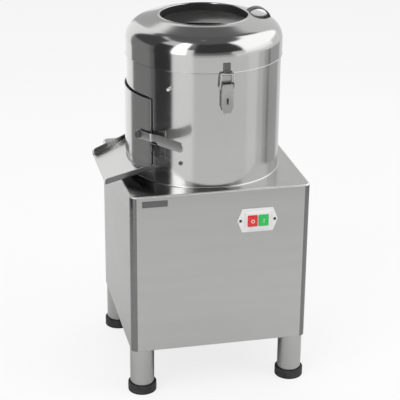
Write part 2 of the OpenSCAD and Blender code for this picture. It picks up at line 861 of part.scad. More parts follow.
module motor_fan() {
    color([0.15, 0.15, 0.16]) at_motor(z_fan) difference() {
        union() {
            cylinder(r = motor_shaft_r + 5, h = fan_h);
            cylinder(r = motor_r - 12, h = 2);
            for (i = [0 : blade_count - 1]) rotate([0, 0, i * 360 / blade_count])
                translate([motor_shaft_r + 3, -1, 0]) cube([motor_r - motor_shaft_r - 15, 2, fan_h - 2]);
        }
        translate([0, 0, -through]) cylinder(r = motor_shaft_r + fit, h = fan_h + 2 * through);
    }
}

module motor_end_bells() {
    color("steelblue") {
        at_motor(z_bell) difference() {
            union() {
                cylinder(d = motor_flange_d, h = motor_foot_t);
                cylinder(r = motor_r - 2, h = bell_h);
            }
            translate([0, 0, -through]) cylinder(r = motor_shaft_r + fit, h = bell_h + 2 * through);
            for (a = [0 : 90 : 270]) translate(concat(polar(motor_bolt_at, a), [-through]))
                cylinder(d = bolt_d + 2 * bolt_slip, h = motor_foot_t + 2 * through);
        }
        at_motor(z_rear_bell) ring(motor_r - 2, motor_shaft_r + fit, rear_bell_h);
    }
}

module motor_stator() {
    color("steelblue") at_motor(z_stator) difference() {
        union() {
            cylinder(r = motor_r - fin_h, h = motor_l);
            for (i = [0 : fin_count - 1]) rotate([0, 0, i * 360 / fin_count])
                translate([motor_r - fin_h - 2, -1.2, 0]) cube([fin_h + 2, 2.4, motor_l]);
        }
        translate([0, 0, -through]) cylinder(r = motor_shaft_r + 1, h = motor_l + 2 * through);
    }
}

module motor_fan_cover() {
    color("dimgray") at_motor(z_rear_bell + rear_bell_h) difference() {
        cylinder(r = motor_r - 2, h = cover_h);
        translate([0, 0, -through]) cylinder(r = motor_r - 4, h = cover_h - 1.5 + through);
        for (i = [0 : 11]) rotate([0, 0, i * 30])
            translate([14, -2, cover_h - 2 * through]) cube([motor_r - 24, 4, 3 * through]);
    }
}

box_w = 60;
box_d = 32;
box_h = 74;

module terminal_box() {
    color("dimgray") at_motor(z_stator + 14) rotate([0, 0, -90 - motor_angle]) difference() {
        translate([motor_r - fin_h, -box_w / 2, 0]) cube([box_d + fin_h, box_w, box_h]);
        translate([0, 0, -through]) cylinder(r = motor_r + gap, h = box_h + 2 * through);
    }
}

capacitor_r = 20;
capacitor_in = 83.5;
capacitor_x = -frame_w / 2 + capacitor_in;
capacitor_edge = 50;
capacitor_y = -plate_d / 2 + capacitor_edge;
clip_h = 11;
cap_h = 5;

module run_capacitor() {
    color("gainsboro") translate([capacitor_x, capacitor_y, z_plate_top]) {
        cylinder(r = capacitor_r, h = capacitor_l);
        translate([0, 0, clip_h]) cylinder(r = capacitor_r + 2, h = clip_h);
        translate([0, 0, capacitor_l]) cylinder(r = capacitor_r - cap_h, h = cap_h);
    }
}

// ---------------------------------------------------------------- drum

door_angle = 180;
z_outlet = z_deck + outlet_rise;
hinge_opposite = latch_angle + 180;
stud_angles = [stud_angle, stud_angle + 180];
z_stud = z_deck + stud_rise;
cap_r = stud_d * 0.62;
inlet_r = inlet_d / 2;
z_inlet = z_stud + 4;

module outlet_cut(r_in, r_out) {
    translate([0, 0, z_outlet]) wall_sector(r_in, r_out, outlet_h, door_angle, outlet_half);
}

module wall_holes(r_in, r_out) {
    for (a = stud_angles) at_wall(a, r_in, z_stud) rotate([0, 90, 0])
        cylinder(r = stud_d / 2 + fit, h = r_out - r_in);
    at_wall(inlet_angle, r_in, z_inlet) rotate([0, 90, 0]) cylinder(r = inlet_r + gap, h = r_out - r_in);
}

module wall_bolt_holes() {
    for (p = wall_bolt_places) at_wall(p[0], drum_in - 5, p[1]) rotate([0, 90, 0])
        cylinder(r = wall_bolt_d / 2 + fit, h = 10);
}

module drum_shell() {
    color("silver") difference() {
        translate([0, 0, z_deck]) ring(drum_r, drum_in, drum_h);
        outlet_cut(drum_in - 2 * through, drum_r + 2 * through);
        wall_holes(drum_in - 5, drum_r + 5);
        wall_bolt_holes();
    }
}

module drum_floor() {
    color("lightgray") translate([0, 0, z_deck]) difference() {
        cylinder(r = drum_in, h = floor_t);
        translate([0, 0, -through]) {
            cylinder(r = neck_r + gap, h = floor_t + 2 * through);
            translate(drain_place) cylinder(d = drain_d - 2 * drain_wall, h = floor_t + 2 * through);
            drum_bolt_holes(floor_t + 2 * through);
        }
    }
}

module drum_bolts() {
    for (a = drum_bolt_angles) translate(concat(polar(drum_bolt_at, a), [z_floor]))
        bolt(drum_bolt_d, floor_t + sheet + 8, 5);
}

liner_z = z_deck + liner_rise;
liner_h = drum_h - liner_rise - liner_drop;

module abrasive_liner() {
    color([0.3, 0.29, 0.28]) difference() {
        translate([0, 0, liner_z]) ring(liner_out, liner_in, liner_h);
        outlet_cut(liner_in - 2 * through, liner_out + 2 * through);
        translate([0, 0, liner_z - through])
            wall_sector(liner_in - 2 * through, liner_out + 2 * through,
                outlet_rise - liner_rise + 2 * through, door_angle, outlet_half);
        wall_holes(liner_in - 5, liner_out + 5);
    }
}

// Radius at which a flat round head rests on the inside of the lining
function lining_seat(head_r) = sqrt(pow(liner_in, 2) - pow(head_r, 2)) - fit;

stud_head_t = 2;
stud_seat = lining_seat(stud_d);

// Each stud has a flat head inside the lining and a cap nut outside the drum
module liner_studs() {
    color("silver") for (a = stud_angles) at_wall(a, 0, z_stud) {
        translate([stud_seat - stud_head_t, 0, 0]) rotate([0, 90, 0]) cylinder(r = stud_d, h = stud_head_t);
        translate([stud_seat - stud_head_t / 2, 0, 0]) rotate([0, 90, 0])
            cylinder(r = stud_d / 2, h = drum_r - stud_seat + stud_l - cap_r);
        translate([drum_r + 0.1, 0, 0]) rotate([0, 90, 0]) cylinder(r = cap_r, h = stud_l - cap_r);
        translate([drum_r + stud_l - cap_r, 0, 0]) sphere(r = cap_r * 1.05, $fn = small_fn);
    }
}

z_drain = z_cabinet - drain_drop;

module drain_pipe() {
    color("lightgray") translate(drain_place) difference() {
        union() {
            translate([0, 0, z_drain]) cylinder(d = hose_d, h = hose_l);
            translate([0, 0, z_drain]) cylinder(d = drain_d, h = z_deck - z_drain);
            translate([0, 0, z_deck - sheet - 3]) cylinder(d = drain_d + 3.6, h = 3);
        }
        translate([0, 0, z_drain - through])
            cylinder(d = drain_d - 2 * drain_wall, h = z_deck - z_drain + 2 * through);
    }
}

// ---------------------------------------------------------------- chute

z_mouth = z_deck + chute_drop;
chute_run = chute_reach / cos(chute_slope);
chute_taper = (chute_root - chute_mouth) / (chute_reach - drum_r * 0.74);

// Half width of the chute at a distance from its mouth, measured along the level
function chute_half(run) = chute_mouth + chute_taper * run;

module chute_plan(inner) {
    polygon([[0, -chute_half(0) + inner], [chute_run, -chute_half(chute_reach) + inner],
        [chute_run, chute_half(chute_reach) - inner], [0, chute_half(0) - inner]]);
}

module discharge_chute() {
    color("silver") difference() {
        intersection() {
            translate([-chute_reach, 0, z_mouth]) rotate([0, -chute_slope, 0]) difference() {
                linear_extrude(chute_side + sheet) chute_plan(0);
                translate([-through, 0, sheet]) linear_extrude(chute_side + sheet)
                    scale([1.02, 1]) chute_plan(sheet);
            }
            translate([-chute_reach - through, -cabinet_d / 2, z_mouth - through])
                cube([chute_reach - drum_r * 0.6, cabinet_d, cabinet_h]);
        }
        translate([0, 0, z_mouth - chute_side]) cylinder(r = drum_r + 0.1, h = drum_h, $fn = 96);
        translate([-chute_reach, -cabinet_d / 2, z_door - 2 * gap])
            cube([chute_reach, cabinet_d, 2 * chute_side]);
    }
}

// ---------------------------------------------------------------- discharge door

z_door = z_deck + door_rise;
door_in = drum_r + gap + door_seal_t;
door_out = door_in + door_t;
hinge_pin_r = 2.5;
knuckle_r = 5;
knuckle_l = 12;
door_hinge_angle = door_angle - door_half - 1.9;
door_hinge_r = door_out + knuckle_r + 0.6;
door_hinge_zs = [z_door + door_h * 0.2, z_door + door_h * 0.8];
leaf_t = 2;
door_leaf_half = 6;
door_leaf_angle = door_angle - door_half + door_leaf_half + 1;
door_arm = door_leaf_angle - door_leaf_half + 1 - door_hinge_angle;
lever_bolt_d = 8;
bolt_r = lever_bolt_d / 2;
z_lever = z_deck + lever_rise;

module door_panel() {
    color("silver") difference() {
        translate([0, 0, z_door]) wall_sector(door_in, door_out, door_h, door_angle, door_half);
        at_wall(lever_angle, door_in - 5, z_lever) rotate([0, 90, 0]) cylinder(r = bolt_r + fit, h = 10);
    }
}

seal_inset = 0.4;

module door_seal() {
    color([0.1, 0.1, 0.1]) difference() {
        translate([0, 0, z_door + seal_inset])
            wall_sector(drum_r + gap, door_in, door_h - 2 * seal_inset, door_angle,
                door_half - seal_inset / 2);
        outlet_cut(drum_r - 2 * through, door_in + 2 * through);
    }
}

module door_hinge_leaves() {
    color("lightgray") for (z = door_hinge_zs) difference() {
        union() {
            translate([0, 0, z - 1.5 * knuckle_l])
                wall_sector(door_out, door_out + leaf_t, 3 * knuckle_l, door_leaf_angle, door_leaf_half);
            for (z0 = [z - 1.5 * knuckle_l, z + knuckle_l / 2 + gap]) {
                at_wall(door_hinge_angle, door_hinge_r, z0) cylinder(r = knuckle_r, h = knuckle_l - gap);
                translate([0, 0, z0]) wall_sector(door_out, door_out + leaf_t, knuckle_l - gap,
                    door_hinge_angle + door_arm / 2, door_arm / 2);
            }
        }
        at_wall(door_hinge_angle, door_hinge_r, z - 2 * knuckle_l)
            cylinder(r = hinge_pin_r + fit, h = 4 * knuckle_l);
    }
}

module drum_hinge_leaves() {
    color("lightgray") for (z = door_hinge_zs) difference() {
        union() {
            translate([0, 0, z - 1.5 * knuckle_l])
                wall_sector(drum_r + 0.1, drum_r + leaf_t, 3 * knuckle_l, door_hinge_angle - 8, 4.5);
            at_wall(door_hinge_angle, door_hinge_r, z - knuckle_l / 2 + gap / 2) {
                cylinder(r = knuckle_r, h = knuckle_l - gap);
                translate([-knuckle_r - (door_hinge_r - drum_r - knuckle_r) + leaf_t / 2, -knuckle_r - 8, 0])
                    cube([door_hinge_r - drum_r - leaf_t / 2 - 1, 9, knuckle_l - gap]);
            }
        }
        at_wall(door_hinge_angle, door_hinge_r, z - 2 * knuckle_l)
            cylinder(r = hinge_pin_r + fit, h = 4 * knuckle_l);
    }
}

module door_hinge_pins() {
    for (z = door_hinge_zs) at_wall(door_hinge_angle, door_hinge_r, z - 1.5 * knuckle_l - 2) {
        cylinder(r = hinge_pin_r, h = 3 * knuckle_l + 4);
        translate([0, 0, 3 * knuckle_l + 2 + gap]) cylinder(r = hinge_pin_r + 1.5, h = 2);
    }
}

lever_x = door_out + 3.2;
step_start = 42;
step_end = 66;

// Side view of the lever from its bolt along +Y: a round eye, a shank, and a wider rounded grip
module lever_outline(from, to) {
    intersection() {
        union() {
            circle(r = lever_w / 2 + 2);
            translate([0, -lever_w / 2]) square([step_end + lever_w, lever_w]);
            translate([step_end, -grip_w / 2]) square([lever_l - step_end - grip_w / 2, grip_w]);
            translate([lever_l - grip_w / 2, 0]) circle(d = grip_w);
        }
        translate([from, -grip_w]) square([to - from, 2 * grip_w]);
    }
}

module lever_frame() {
    at_wall(lever_angle, lever_x, z_lever) rotate([0, 0, 90]) rotate([90, 0, 0]) rotate([0, 0, lever_tilt])
        children();
}

module door_lever() {
    color("darkgray") lever_frame() difference() {
        union() {
            linear_extrude(lever_t) lever_outline(-lever_w, step_start);
            translate([0, 0, -lever_step]) linear_extrude(lever_t)
                lever_outline(step_start - lever_t, step_end + lever_t);
            linear_extrude(lever_t) lever_outline(step_end, lever_l);
        }
        translate([0, 0, -lever_t]) cylinder(r = bolt_r + fit, h = 3 * lever_t);
    }
}

module lever_bolt() {
    color("silver") at_wall(lever_angle, 0, z_lever) rotate([0, 90, 0]) {
        translate([0, 0, door_in - 8]) cylinder(r = bolt_r, h = lever_x + lever_t + 9 - door_in);
        translate([0, 0, door_in - 6.5]) cylinder(r = bolt_r * 1.9, h = 6.3, $fn = 6);
        translate([0, 0, door_out + gap]) ring(bolt_r * 1.8, bolt_r, lever_x - door_out - 2 * gap);
        translate([0, 0, lever_x + lever_t + gap]) cylinder(r = bolt_r * 2.1, h = 1);
        translate([0, 0, lever_x + lever_t + gap + 1]) cylinder(r = bolt_r * 1.9, h = 5, $fn = 6);
    }
}

catch_mid = (step_start + step_end) / 2;
catch_angle = lever_angle + atan(catch_mid / lever_x);
catch_shelf = 18;
catch_reach = lever_x / cos(catch_angle - lever_angle) + lever_t + 1.5;
z_catch = z_lever + catch_mid * tan(lever_tilt) - lever_w / 2 - catch_shelf / 2 * tan(lever_tilt) - 2 * gap;
catch_foot_h = 38;
catch_t = 2.5;
catch_web_h = 22;

// Bracket on the drum: a foot plate on the wall, a shelf that the lever rests above, and a web
module door_catch() {
    color("gray") {
        translate([0, 0, z_catch - catch_foot_h]) difference() {
            wall_sector(drum_r + 0.1, drum_r + catch_t, catch_foot_h, catch_angle + 1, 5);
            at_wall(catch_screw_angle, drum_r - through, z_catch_screw - z_catch + catch_foot_h)
                rotate([0, 90, 0]) cylinder(r = wall_bolt_d / 2 + fit, h = 10);
        }
        at_wall(catch_angle, 0, z_catch) {
            translate([drum_r + 1, -catch_shelf / 2, -catch_t])
                cube([catch_reach - drum_r - 1, catch_shelf, catch_t]);
            translate([drum_r + 1, -catch_shelf / 2, -catch_web_h])
                cube([catch_reach - drum_r - 4, catch_t, catch_web_h]);
        }
    }
}

// Places of the two dome-headed bolts in the drum wall: [angle, height, washer seat radius]
wall_bolt_d = 5;
catch_screw_angle = catch_angle + 3.2;
z_catch_screw = z_catch - catch_foot_h + 8;
guard_bolt_angle = -118.9;
guard_bolt_rise = 57.8;
z_guard_bolt = z_deck + guard_bolt_rise;
wall_bolt_places = [[catch_screw_angle, z_catch_screw, drum_r + catch_t],
    [guard_bolt_angle, z_guard_bolt, drum_r + 0.1]];

module wall_bolts() {
    for (p = wall_bolt_places) at_wall(p[0], p[2], p[1]) rotate([0, 90, 0]) {
        translate([0, 0, drum_in - p[2]]) cylinder(d = wall_bolt_d, h = p[2] - drum_in + 3);
        cylinder(r = wall_bolt_d, h = 1);
        translate([0, 0, 1]) cylinder(r = wall_bolt_d * 0.8, h = 1.5);
        translate([0, 0, 2.5]) sphere(r = wall_bolt_d * 0.5, $fn = small_fn);
    }
}

// ---------------------------------------------------------------- lid

z_shoulder = z_skirt + skirt_h;
shoulder_at = lid_r - shoulder_r;
upright = 90;
shoulder_end = upright - lid_slope;
mouth_r = mouth_d / 2;
lip_r = mouth_r + lip_w;
cone_r = shoulder_at + shoulder_r * cos(shoulder_end);
z_cone = z_shoulder + shoulder_r * sin(shoulder_end);
z_lip = z_cone + (cone_r - lip_r) * tan(lid_slope);
shoulder_steps = 14;

// Half section of the lid's outside from the skirt's edge to the lip, moved inwards by t
function lid_path(t) = concat(
    [[lid_r - t, z_skirt]],
    [for (i = [0 : shoulder_steps])
        [shoulder_at, z_shoulder] + polar(shoulder_r - t, shoulder_end * i / shoulder_steps)],
    [[lip_r, z_lip - t / cos(lid_slope)]]);

function reversed(p) = [for (i = [len(p) - 1 : -1 : 0]) p[i]];

module lid_shell() {
    color("silver") rotate_extrude($fn = 128) polygon(concat(lid_path(0),
        [[mouth_r + lip_w / 2, z_lip + 0.8], [mouth_r, z_lip - 1.2], [mouth_r, z_lip - collar_h],
        [mouth_r + lid_t, z_lip - collar_h], [mouth_r + lid_t, z_lip - 2.2]], reversed(lid_path(lid_t))));
}

module lid_gasket() {
    color([0.12, 0.12, 0.12]) translate([0, 0, z_rim + gap]) ring(lid_in, lid_in - 8, gasket_t);
}

module lid_handle() {
    color("silver") rotate([0, 0, handle_angle]) translate([0, handle_w / 2, 0]) rotate([90, 0, 0])
        linear_extrude(handle_w) difference() {
            translate([handle_at, z_lip + handle_sink]) difference() {
                circle(handle_r, $fn = 96);
                circle(handle_r - handle_t, $fn = 96);
            }
            polygon(concat([[0, z_skirt]], lid_path(0), [[0, z_lip]]));
            translate([0, z_skirt]) square([mouth_r, cabinet_h]);
            translate([0, z_skirt]) square([lid_r, skirt_h]);
        }
}

handle_sink = -(handle_at - lip_r) * tan(lid_slope) - 19.5;

lid_hinge_r = lid_r + 8.5;
z_lid_hinge = z_skirt - 3;
lid_pin_r = 2.5;
lid_knuckle_r = 5;
lid_knuckle_l = 18;
lid_leaf_t = 2;

// The lid's half of the hinge: a plate on the skirt and two arms that end in knuckles
module lid_hinge_leaf() {
    color("silver") at_wall(hinge_opposite, 0, 0) difference() {
        union() {
            translate([lid_r + fit, -1.5 * lid_knuckle_l, z_skirt + 4])
                cube([lid_leaf_t, 3 * lid_knuckle_l, 24]);
            for (s = [-1, 1]) translate([0, s * lid_knuckle_l - (lid_knuckle_l - gap) / 2 + s * gap / 2, 0]) {
                translate([lid_r + fit, 0, z_skirt + 1]) cube([lid_leaf_t, lid_knuckle_l - gap, 4]);
                translate([lid_r + fit, 0, z_lid_hinge]) cube([lid_hinge_r - lid_r, lid_knuckle_l - gap, 5]);
                translate([lid_hinge_r, 0, z_lid_hinge]) rotate([-90, 0, 0])
                    cylinder(r = lid_knuckle_r, h = lid_knuckle_l - gap);
            }
        }
        translate([lid_hinge_r, -2 * lid_knuckle_l, z_lid_hinge]) rotate([-90, 0, 0])
            cylinder(r = lid_pin_r + fit, h = 4 * lid_knuckle_l);
    }
}

leaf_drop = 44;
leaf_h = 30;
leaf_neck = 12;
leaf_neck_drop = 16;

module drum_lid_hinge() {
    color("silver") at_wall(hinge_opposite, 0, 0) difference() {
        union() {
            translate([drum_r + fit, -1.5 * lid_knuckle_l, z_lid_hinge - leaf_drop])
                cube([lid_leaf_t, 3 * lid_knuckle_l, leaf_h]);
            translate([drum_r + fit, -(lid_knuckle_l - gap) / 2, z_lid_hinge - leaf_neck_drop])
                cube([lid_leaf_t, lid_knuckle_l - gap, leaf_neck]);
            translate([drum_r + fit, -(lid_knuckle_l - gap) / 2, z_lid_hinge - lid_knuckle_r])
                cube([lid_hinge_r - drum_r, lid_knuckle_l - gap, lid_leaf_t + 1]);
            translate([lid_hinge_r, -(lid_knuckle_l - gap) / 2, z_lid_hinge]) rotate([-90, 0, 0])
                cylinder(r = lid_knuckle_r, h = lid_knuckle_l - gap);
        }
        translate([lid_hinge_r, -2 * lid_knuckle_l, z_lid_hinge]) rotate([-90, 0, 0])
            cylinder(r = lid_pin_r + fit, h = 4 * lid_knuckle_l);
    }
}

module lid_hinge_pin() {
    at_wall(hinge_opposite, lid_hinge_r, z_lid_hinge)
        translate([0, -1.5 * lid_knuckle_l - 2, 0]) rotate([-90, 0, 0])
            cylinder(r = lid_pin_r, h = 3 * lid_knuckle_l + 4);
}

// Pins and fasteners of one kind that stay with the frame share a node each
module hinge_pins() {
    color("silver") {
        door_hinge_pins();
        lid_hinge_pin();
    }
}

module frame_fasteners() {
    color("dimgray") {
        frame_bolts();
        drum_bolts();
        service_screws();
        wall_bolts();
    }
}

// ---------------------------------------------------------------- toggle latch

latch_pivot_x = drum_r + 9;
z_latch = z_skirt - latch_drop;
latch_pin_r = 1.6;
pin_out = 0.6;
ear_half = latch_w / 2 - latch_t - gap - 0.3;
ear_t = 1.5;
base_w = 2 * ear_half;
plate_out = 2.6;
lever_plate_x = latch_pivot_x + plate_out;
ear_l = latch_pivot_x - drum_r - fit - latch_t / 2;
ear_r = plate_out - gap;
ear_top = 1;
ear_foot = 6;
bail_pivot_down = 7;
bail_r = bail_d / 2;
flange_r = 6;

// Ears with round ends, low enough for the lever's plate to turn over them
module latch_base() {
    color("silver") at_wall(latch_angle, 0, 0) {
        translate([drum_r + fit, -base_w / 2, z_latch - latch_l + 8]) cube([latch_t, base_w, latch_l + 12]);
        for (s = [-1, 1]) translate([latch_pivot_x, s * (ear_half - ear_t / 2) + ear_t / 2, z_latch])
            rotate([90, 0, 0]) linear_extrude(ear_t) {
                circle(ear_r);
                polygon([[-ear_l, -ear_foot], [0, -ear_r], [0, ear_top], [-ear_l, ear_top]]);
            }
        translate([latch_pivot_x, -latch_w / 2 - pin_out, z_latch]) rotate([-90, 0, 0])
            cylinder(r = latch_pin_r, h = latch_w + 2 * pin_out);
    }
}

tip_taper = 5;
slot_w = 5;
slot_h = 14;

module latch_cheek() {
    rotate([-90, 0, 0]) linear_extrude(latch_t) {
        circle(flange_r);
        translate([-flange_r, 0])
            square([flange_r + lever_plate_x - latch_pivot_x + latch_t / 2, latch_l * 0.75]);
    }
}

// A folded plate with two cheeks on the pivot pin, a padlock slot and a tapered thumb tip
module latch_lever() {
    color("silver") at_wall(latch_angle, 0, 0) difference() {
        union() {
            for (s = [-1, 1]) translate([latch_pivot_x, s * (latch_w - latch_t) / 2 - latch_t / 2, z_latch])
                latch_cheek();
            translate([lever_plate_x, 0, 0]) rotate([90, 0, 90]) linear_extrude(latch_t) polygon([
                [-latch_w / 2, z_latch + 3], [-latch_w / 2, z_latch - latch_l * 0.78],
                [-latch_w / 2 + tip_taper, z_latch - latch_l], [latch_w / 2 - tip_taper, z_latch - latch_l],
                [latch_w / 2, z_latch - latch_l * 0.78], [latch_w / 2, z_latch + 3]]);
        }
        translate([latch_pivot_x, -latch_w, z_latch]) rotate([-90, 0, 0])
            cylinder(r = latch_pin_r + fit, h = 2 * latch_w);
        translate([latch_pivot_x, -latch_w, z_latch - bail_pivot_down]) rotate([-90, 0, 0])
            cylinder(r = bail_r / 2 + fit, h = 2 * latch_w);
        translate([lever_plate_x - through, -slot_w / 2, z_latch - latch_l * 0.68])
            cube([latch_t + 2 * through, slot_w, slot_h]);
    }
}

bail_room = 1.5;
bail_foot = latch_w / 2 + bail_room + bail_r;
bail_bend_r = bail_r * 1.06;

// Wire between two points of the bail's own plane: [across, up]
module wire(p, q) {
    along = q - p;
    translate([0, p[0], p[1]]) rotate([-atan2(along[0], along[1]), 0, 0])
        cylinder(r = bail_r, h = norm(along));
}

module latch_bail() {
    top = bail_l - bail_r;
    color("silver") at_wall(latch_angle, latch_pivot_x, z_latch - bail_pivot_down) {
        for (s = [-1, 1]) {
            wire([s * bail_foot, 0], [s * bail_half, top]);
            translate([0, s * bail_foot, 0]) sphere(r = bail_bend_r, $fn = small_fn);
            translate([0, s * bail_half, top]) sphere(r = bail_bend_r, $fn = small_fn);
            translate([0, s * (bail_foot + latch_w / 2) / 2, 0]) rotate([90, 0, 0])
                cylinder(r = bail_r / 2, h = bail_foot - latch_w / 2 + 2 * latch_t, center = true);
        }
        translate([0, -bail_half, top]) rotate([-90, 0, 0]) cylinder(r = bail_r, h = 2 * bail_half);
    }
}

keeper_t = 1.4;

module latch_keeper() {
    color("silver") at_wall(latch_angle, lid_r, z_skirt) {
        translate([fit, -keeper_w / 2, 7]) cube([keeper_t, keeper_w, keeper_h]);
        translate([fit, -keeper_w / 2, 3]) cube([keeper_t + 1.2, keeper_w, 4]);
    }
}

// ---------------------------------------------------------------- switch, badge and connections

bezel_rim = 4.5;
bezel_w = 2 * button_w + button_gap + 2 * bezel_rim;
bezel_h = button_h + 15;
button_slip = 0.4;
well_w = button_w + 2 * button_slip;
well_h = button_h + 2 * button_slip;
button_xs = [-(button_w + button_gap) / 2, (button_w + button_gap) / 2];
stem_r = 3;
body_depth = 42;

// Moves a child to the front wall: X across, Y up, Z outwards
module at_front(x, z) {
    translate([x, cabinet_front, z]) rotate([90, 0, 0]) children();
}

module centred_box(w, h, z0, t) {
    translate([-w / 2, -h / 2, z0]) cube([w, h, t]);
}

module switch_plate() {
    color("white") at_front(switch_x, switch_z) difference() {
        union() {
            linear_extrude(switch_t) polygon([[-switch_w / 2, 0], [-switch_w / 2 + switch_tip, -switch_h / 2],
                [switch_w / 2 - switch_tip, -switch_h / 2], [switch_w / 2, 0],
                [switch_w / 2 - switch_tip, switch_h / 2], [-switch_w / 2 + switch_tip, switch_h / 2]]);
            centred_box(bezel_w, bezel_h, 0, switch_t + bezel_t);
        }
        for (x = button_xs) translate([x, 0, 0])
            centred_box(well_w, well_h, -through, switch_t + bezel_t + 2 * through);
        for (x = [-1, 1]) translate([x * plate_screw_x, 0, -through])
            cylinder(d = plate_screw_d, h = switch_t + 2 * through);
    }
}

module switch_body() {
    color([0.2, 0.2, 0.22]) at_front(switch_x, switch_z) {
        difference() {
            centred_box(switch_body_w, switch_body_h, -body_depth, body_depth);
            for (x = button_xs) translate([x, 0, 0]) {
                centred_box(well_w, well_h, -button_travel - 2, button_travel + 3);
                translate([0, 0, -16]) cylinder(r = stem_r + button_slip, h = 20);
            }
        }
        for (x = [-1, 1]) translate([x * plate_screw_x, 0, -6]) cylinder(d = plate_screw_d, h = 6 + switch_t);
        for (x = [-1, 1]) translate([x * plate_screw_x, 0, switch_t]) cylinder(r1 = 3.4, r2 = 2.6, h = 1.6);
    }
}

module button(x) {
    at_front(switch_x + x, switch_z) {
        centred_box(button_w, button_h, 0.5, switch_t + bezel_t + button_out - 0.5);
        translate([0, 0, -10]) cylinder(r = stem_r, h = 11);
    }
}

module stop_button() {
    color("red") button(button_xs[0]);
}

module start_button() {
    color("green") button(button_xs[1]);
}

badge_t = 0.8;

module blank_badge() {
    color([0.15, 0.15, 0.16])
        translate([-cabinet_w / 2 + badge_in, cabinet_front - badge_t, z_deck - badge_down - badge_h])
            cube([badge_w, badge_t, badge_h]);
}

gland_out = 20;
gland_end = 8;
gland_nut = 5;
inlet_neck = 10;
inlet_flange_r = inlet_r + 3;
inlet_flange_t = 2.5;
inlet_start = lining_seat(inlet_flange_r) - inlet_flange_t;
inlet_all = drum_r + inlet_neck + inlet_l - inlet_start;

// The cable gland in the back wall and the threaded water inlet in the drum wall
module inlets() {
    color([0.12, 0.12, 0.12]) translate([gland_x, cabinet_back, gland_z]) rotate([-90, 0, 0]) difference() {
        union() {
            translate([0, 0, -sheet - gland_end]) cylinder(r = gland_r, h = gland_out + sheet + gland_end);
            cylinder(r = gland_r + gland_wall, h = gland_nut, $fn = 6);
            translate([0, 0, -sheet - gland_nut]) cylinder(r = gland_r + gland_wall, h = gland_nut, $fn = 6);
        }
        translate([0, 0, -sheet - gland_end - through])
            cylinder(d = gland_bore, h = gland_out + sheet + gland_end + 2 * through);
    }
    color("silver") at_wall(inlet_angle, 0, z_inlet) rotate([0, 90, 0]) difference() {
        union() {
            translate([0, 0, inlet_start]) cylinder(r = inlet_r, h = inlet_all);
            translate([0, 0, drum_r + 0.2]) cylinder(r = inlet_r * 1.45, h = inlet_neck - 0.2, $fn = 6);
            translate([0, 0, inlet_start]) cylinder(r = inlet_flange_r, h = inlet_flange_t);
        }
        translate([0, 0, inlet_start - through]) cylinder(d = inlet_bore, h = inlet_all + 2 * through);
    }
}

front_sheet();
side_sheets();
back_sheet();
corner_posts();
deck_sheet();
service_panel();
base_frame();
legs();
feet();
frame_fasteners();
side_rails();
drive_plate();
deck_stiffener();
bearing_housing();
shaft_bearings();
shaft_seal();
main_shaft();
peeling_disc();
disc_grit();
disc_nut();
large_pulley();
pulley_nut();
drive_belt();
motor_pulley();
motor_shaft();
motor_fan();
motor_end_bells();
motor_stator();
motor_fan_cover();
terminal_box();
run_capacitor();
drum_shell();
drum_floor();
abrasive_liner();
liner_studs();
drain_pipe();
discharge_chute();
door_panel();
door_seal();
door_hinge_leaves();
drum_hinge_leaves();
hinge_pins();
door_lever();
lever_bolt();
door_catch();
lid_shell();
lid_gasket();
lid_handle();
lid_hinge_leaf();
drum_lid_hinge();
latch_keeper();
latch_base();
latch_lever();
latch_bail();
switch_plate();
switch_body();
stop_button();
start_button();
blank_badge();
inlets();
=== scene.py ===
# %% [markdown]
# # An electric potato peeler in brushed steel
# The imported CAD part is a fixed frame: its bodies carry everything that moves. This file gives it the looks of the
# real machine. Sheet metal, rubber and wire are rebuilt as smooth surfaces, and the rest of the CAD pieces get a
# better finish. All places are in the frame's own metres, with the floor at height zero and the drum's axis upright.

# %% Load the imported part
import json
import math

import bmesh
import bpy
import numpy as np
from mathutils import Matrix


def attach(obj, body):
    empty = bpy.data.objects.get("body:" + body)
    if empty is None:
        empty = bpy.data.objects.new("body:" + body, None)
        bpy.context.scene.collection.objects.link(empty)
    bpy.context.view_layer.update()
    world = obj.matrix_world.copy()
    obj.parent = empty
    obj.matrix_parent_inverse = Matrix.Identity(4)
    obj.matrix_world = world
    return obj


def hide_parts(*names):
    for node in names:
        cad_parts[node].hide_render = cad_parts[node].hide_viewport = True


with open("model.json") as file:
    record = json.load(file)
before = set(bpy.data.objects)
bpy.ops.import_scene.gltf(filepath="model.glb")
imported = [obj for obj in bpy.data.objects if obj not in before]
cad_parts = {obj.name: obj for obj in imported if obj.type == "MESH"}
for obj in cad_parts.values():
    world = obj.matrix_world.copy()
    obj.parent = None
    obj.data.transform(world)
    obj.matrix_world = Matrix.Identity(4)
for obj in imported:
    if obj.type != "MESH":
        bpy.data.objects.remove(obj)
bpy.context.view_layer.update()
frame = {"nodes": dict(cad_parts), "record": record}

# %% [markdown]
# ## The camera
# The view was worked out from the photograph: a lens of about 122 mm, looking down at 22.5 degrees and a little from
# the left. A camera in Blender looks along its own minus Z, so the three columns of its matrix are the picture's
# right, the picture's up, and the direction back towards the camera.

# %% Place the camera
side_turn, look_down, roll = np.radians([-12.923, 22.489, 0.553])
PLACE, FOCAL_PIXELS, PICTURE, SENSOR = [-0.6804, -2.9436, 1.6527], 1352.2, 400, 36.0
back = np.array([math.sin(side_turn) * math.cos(look_down), -math.cos(side_turn) * math.cos(look_down),
                 math.sin(look_down)])
level = np.array([math.cos(side_turn), math.sin(side_turn), 0.0])
upward = np.cross(back, level)
picture_right = math.cos(roll) * level + math.sin(roll) * upward
picture_up = -math.sin(roll) * level + math.cos(roll) * upward

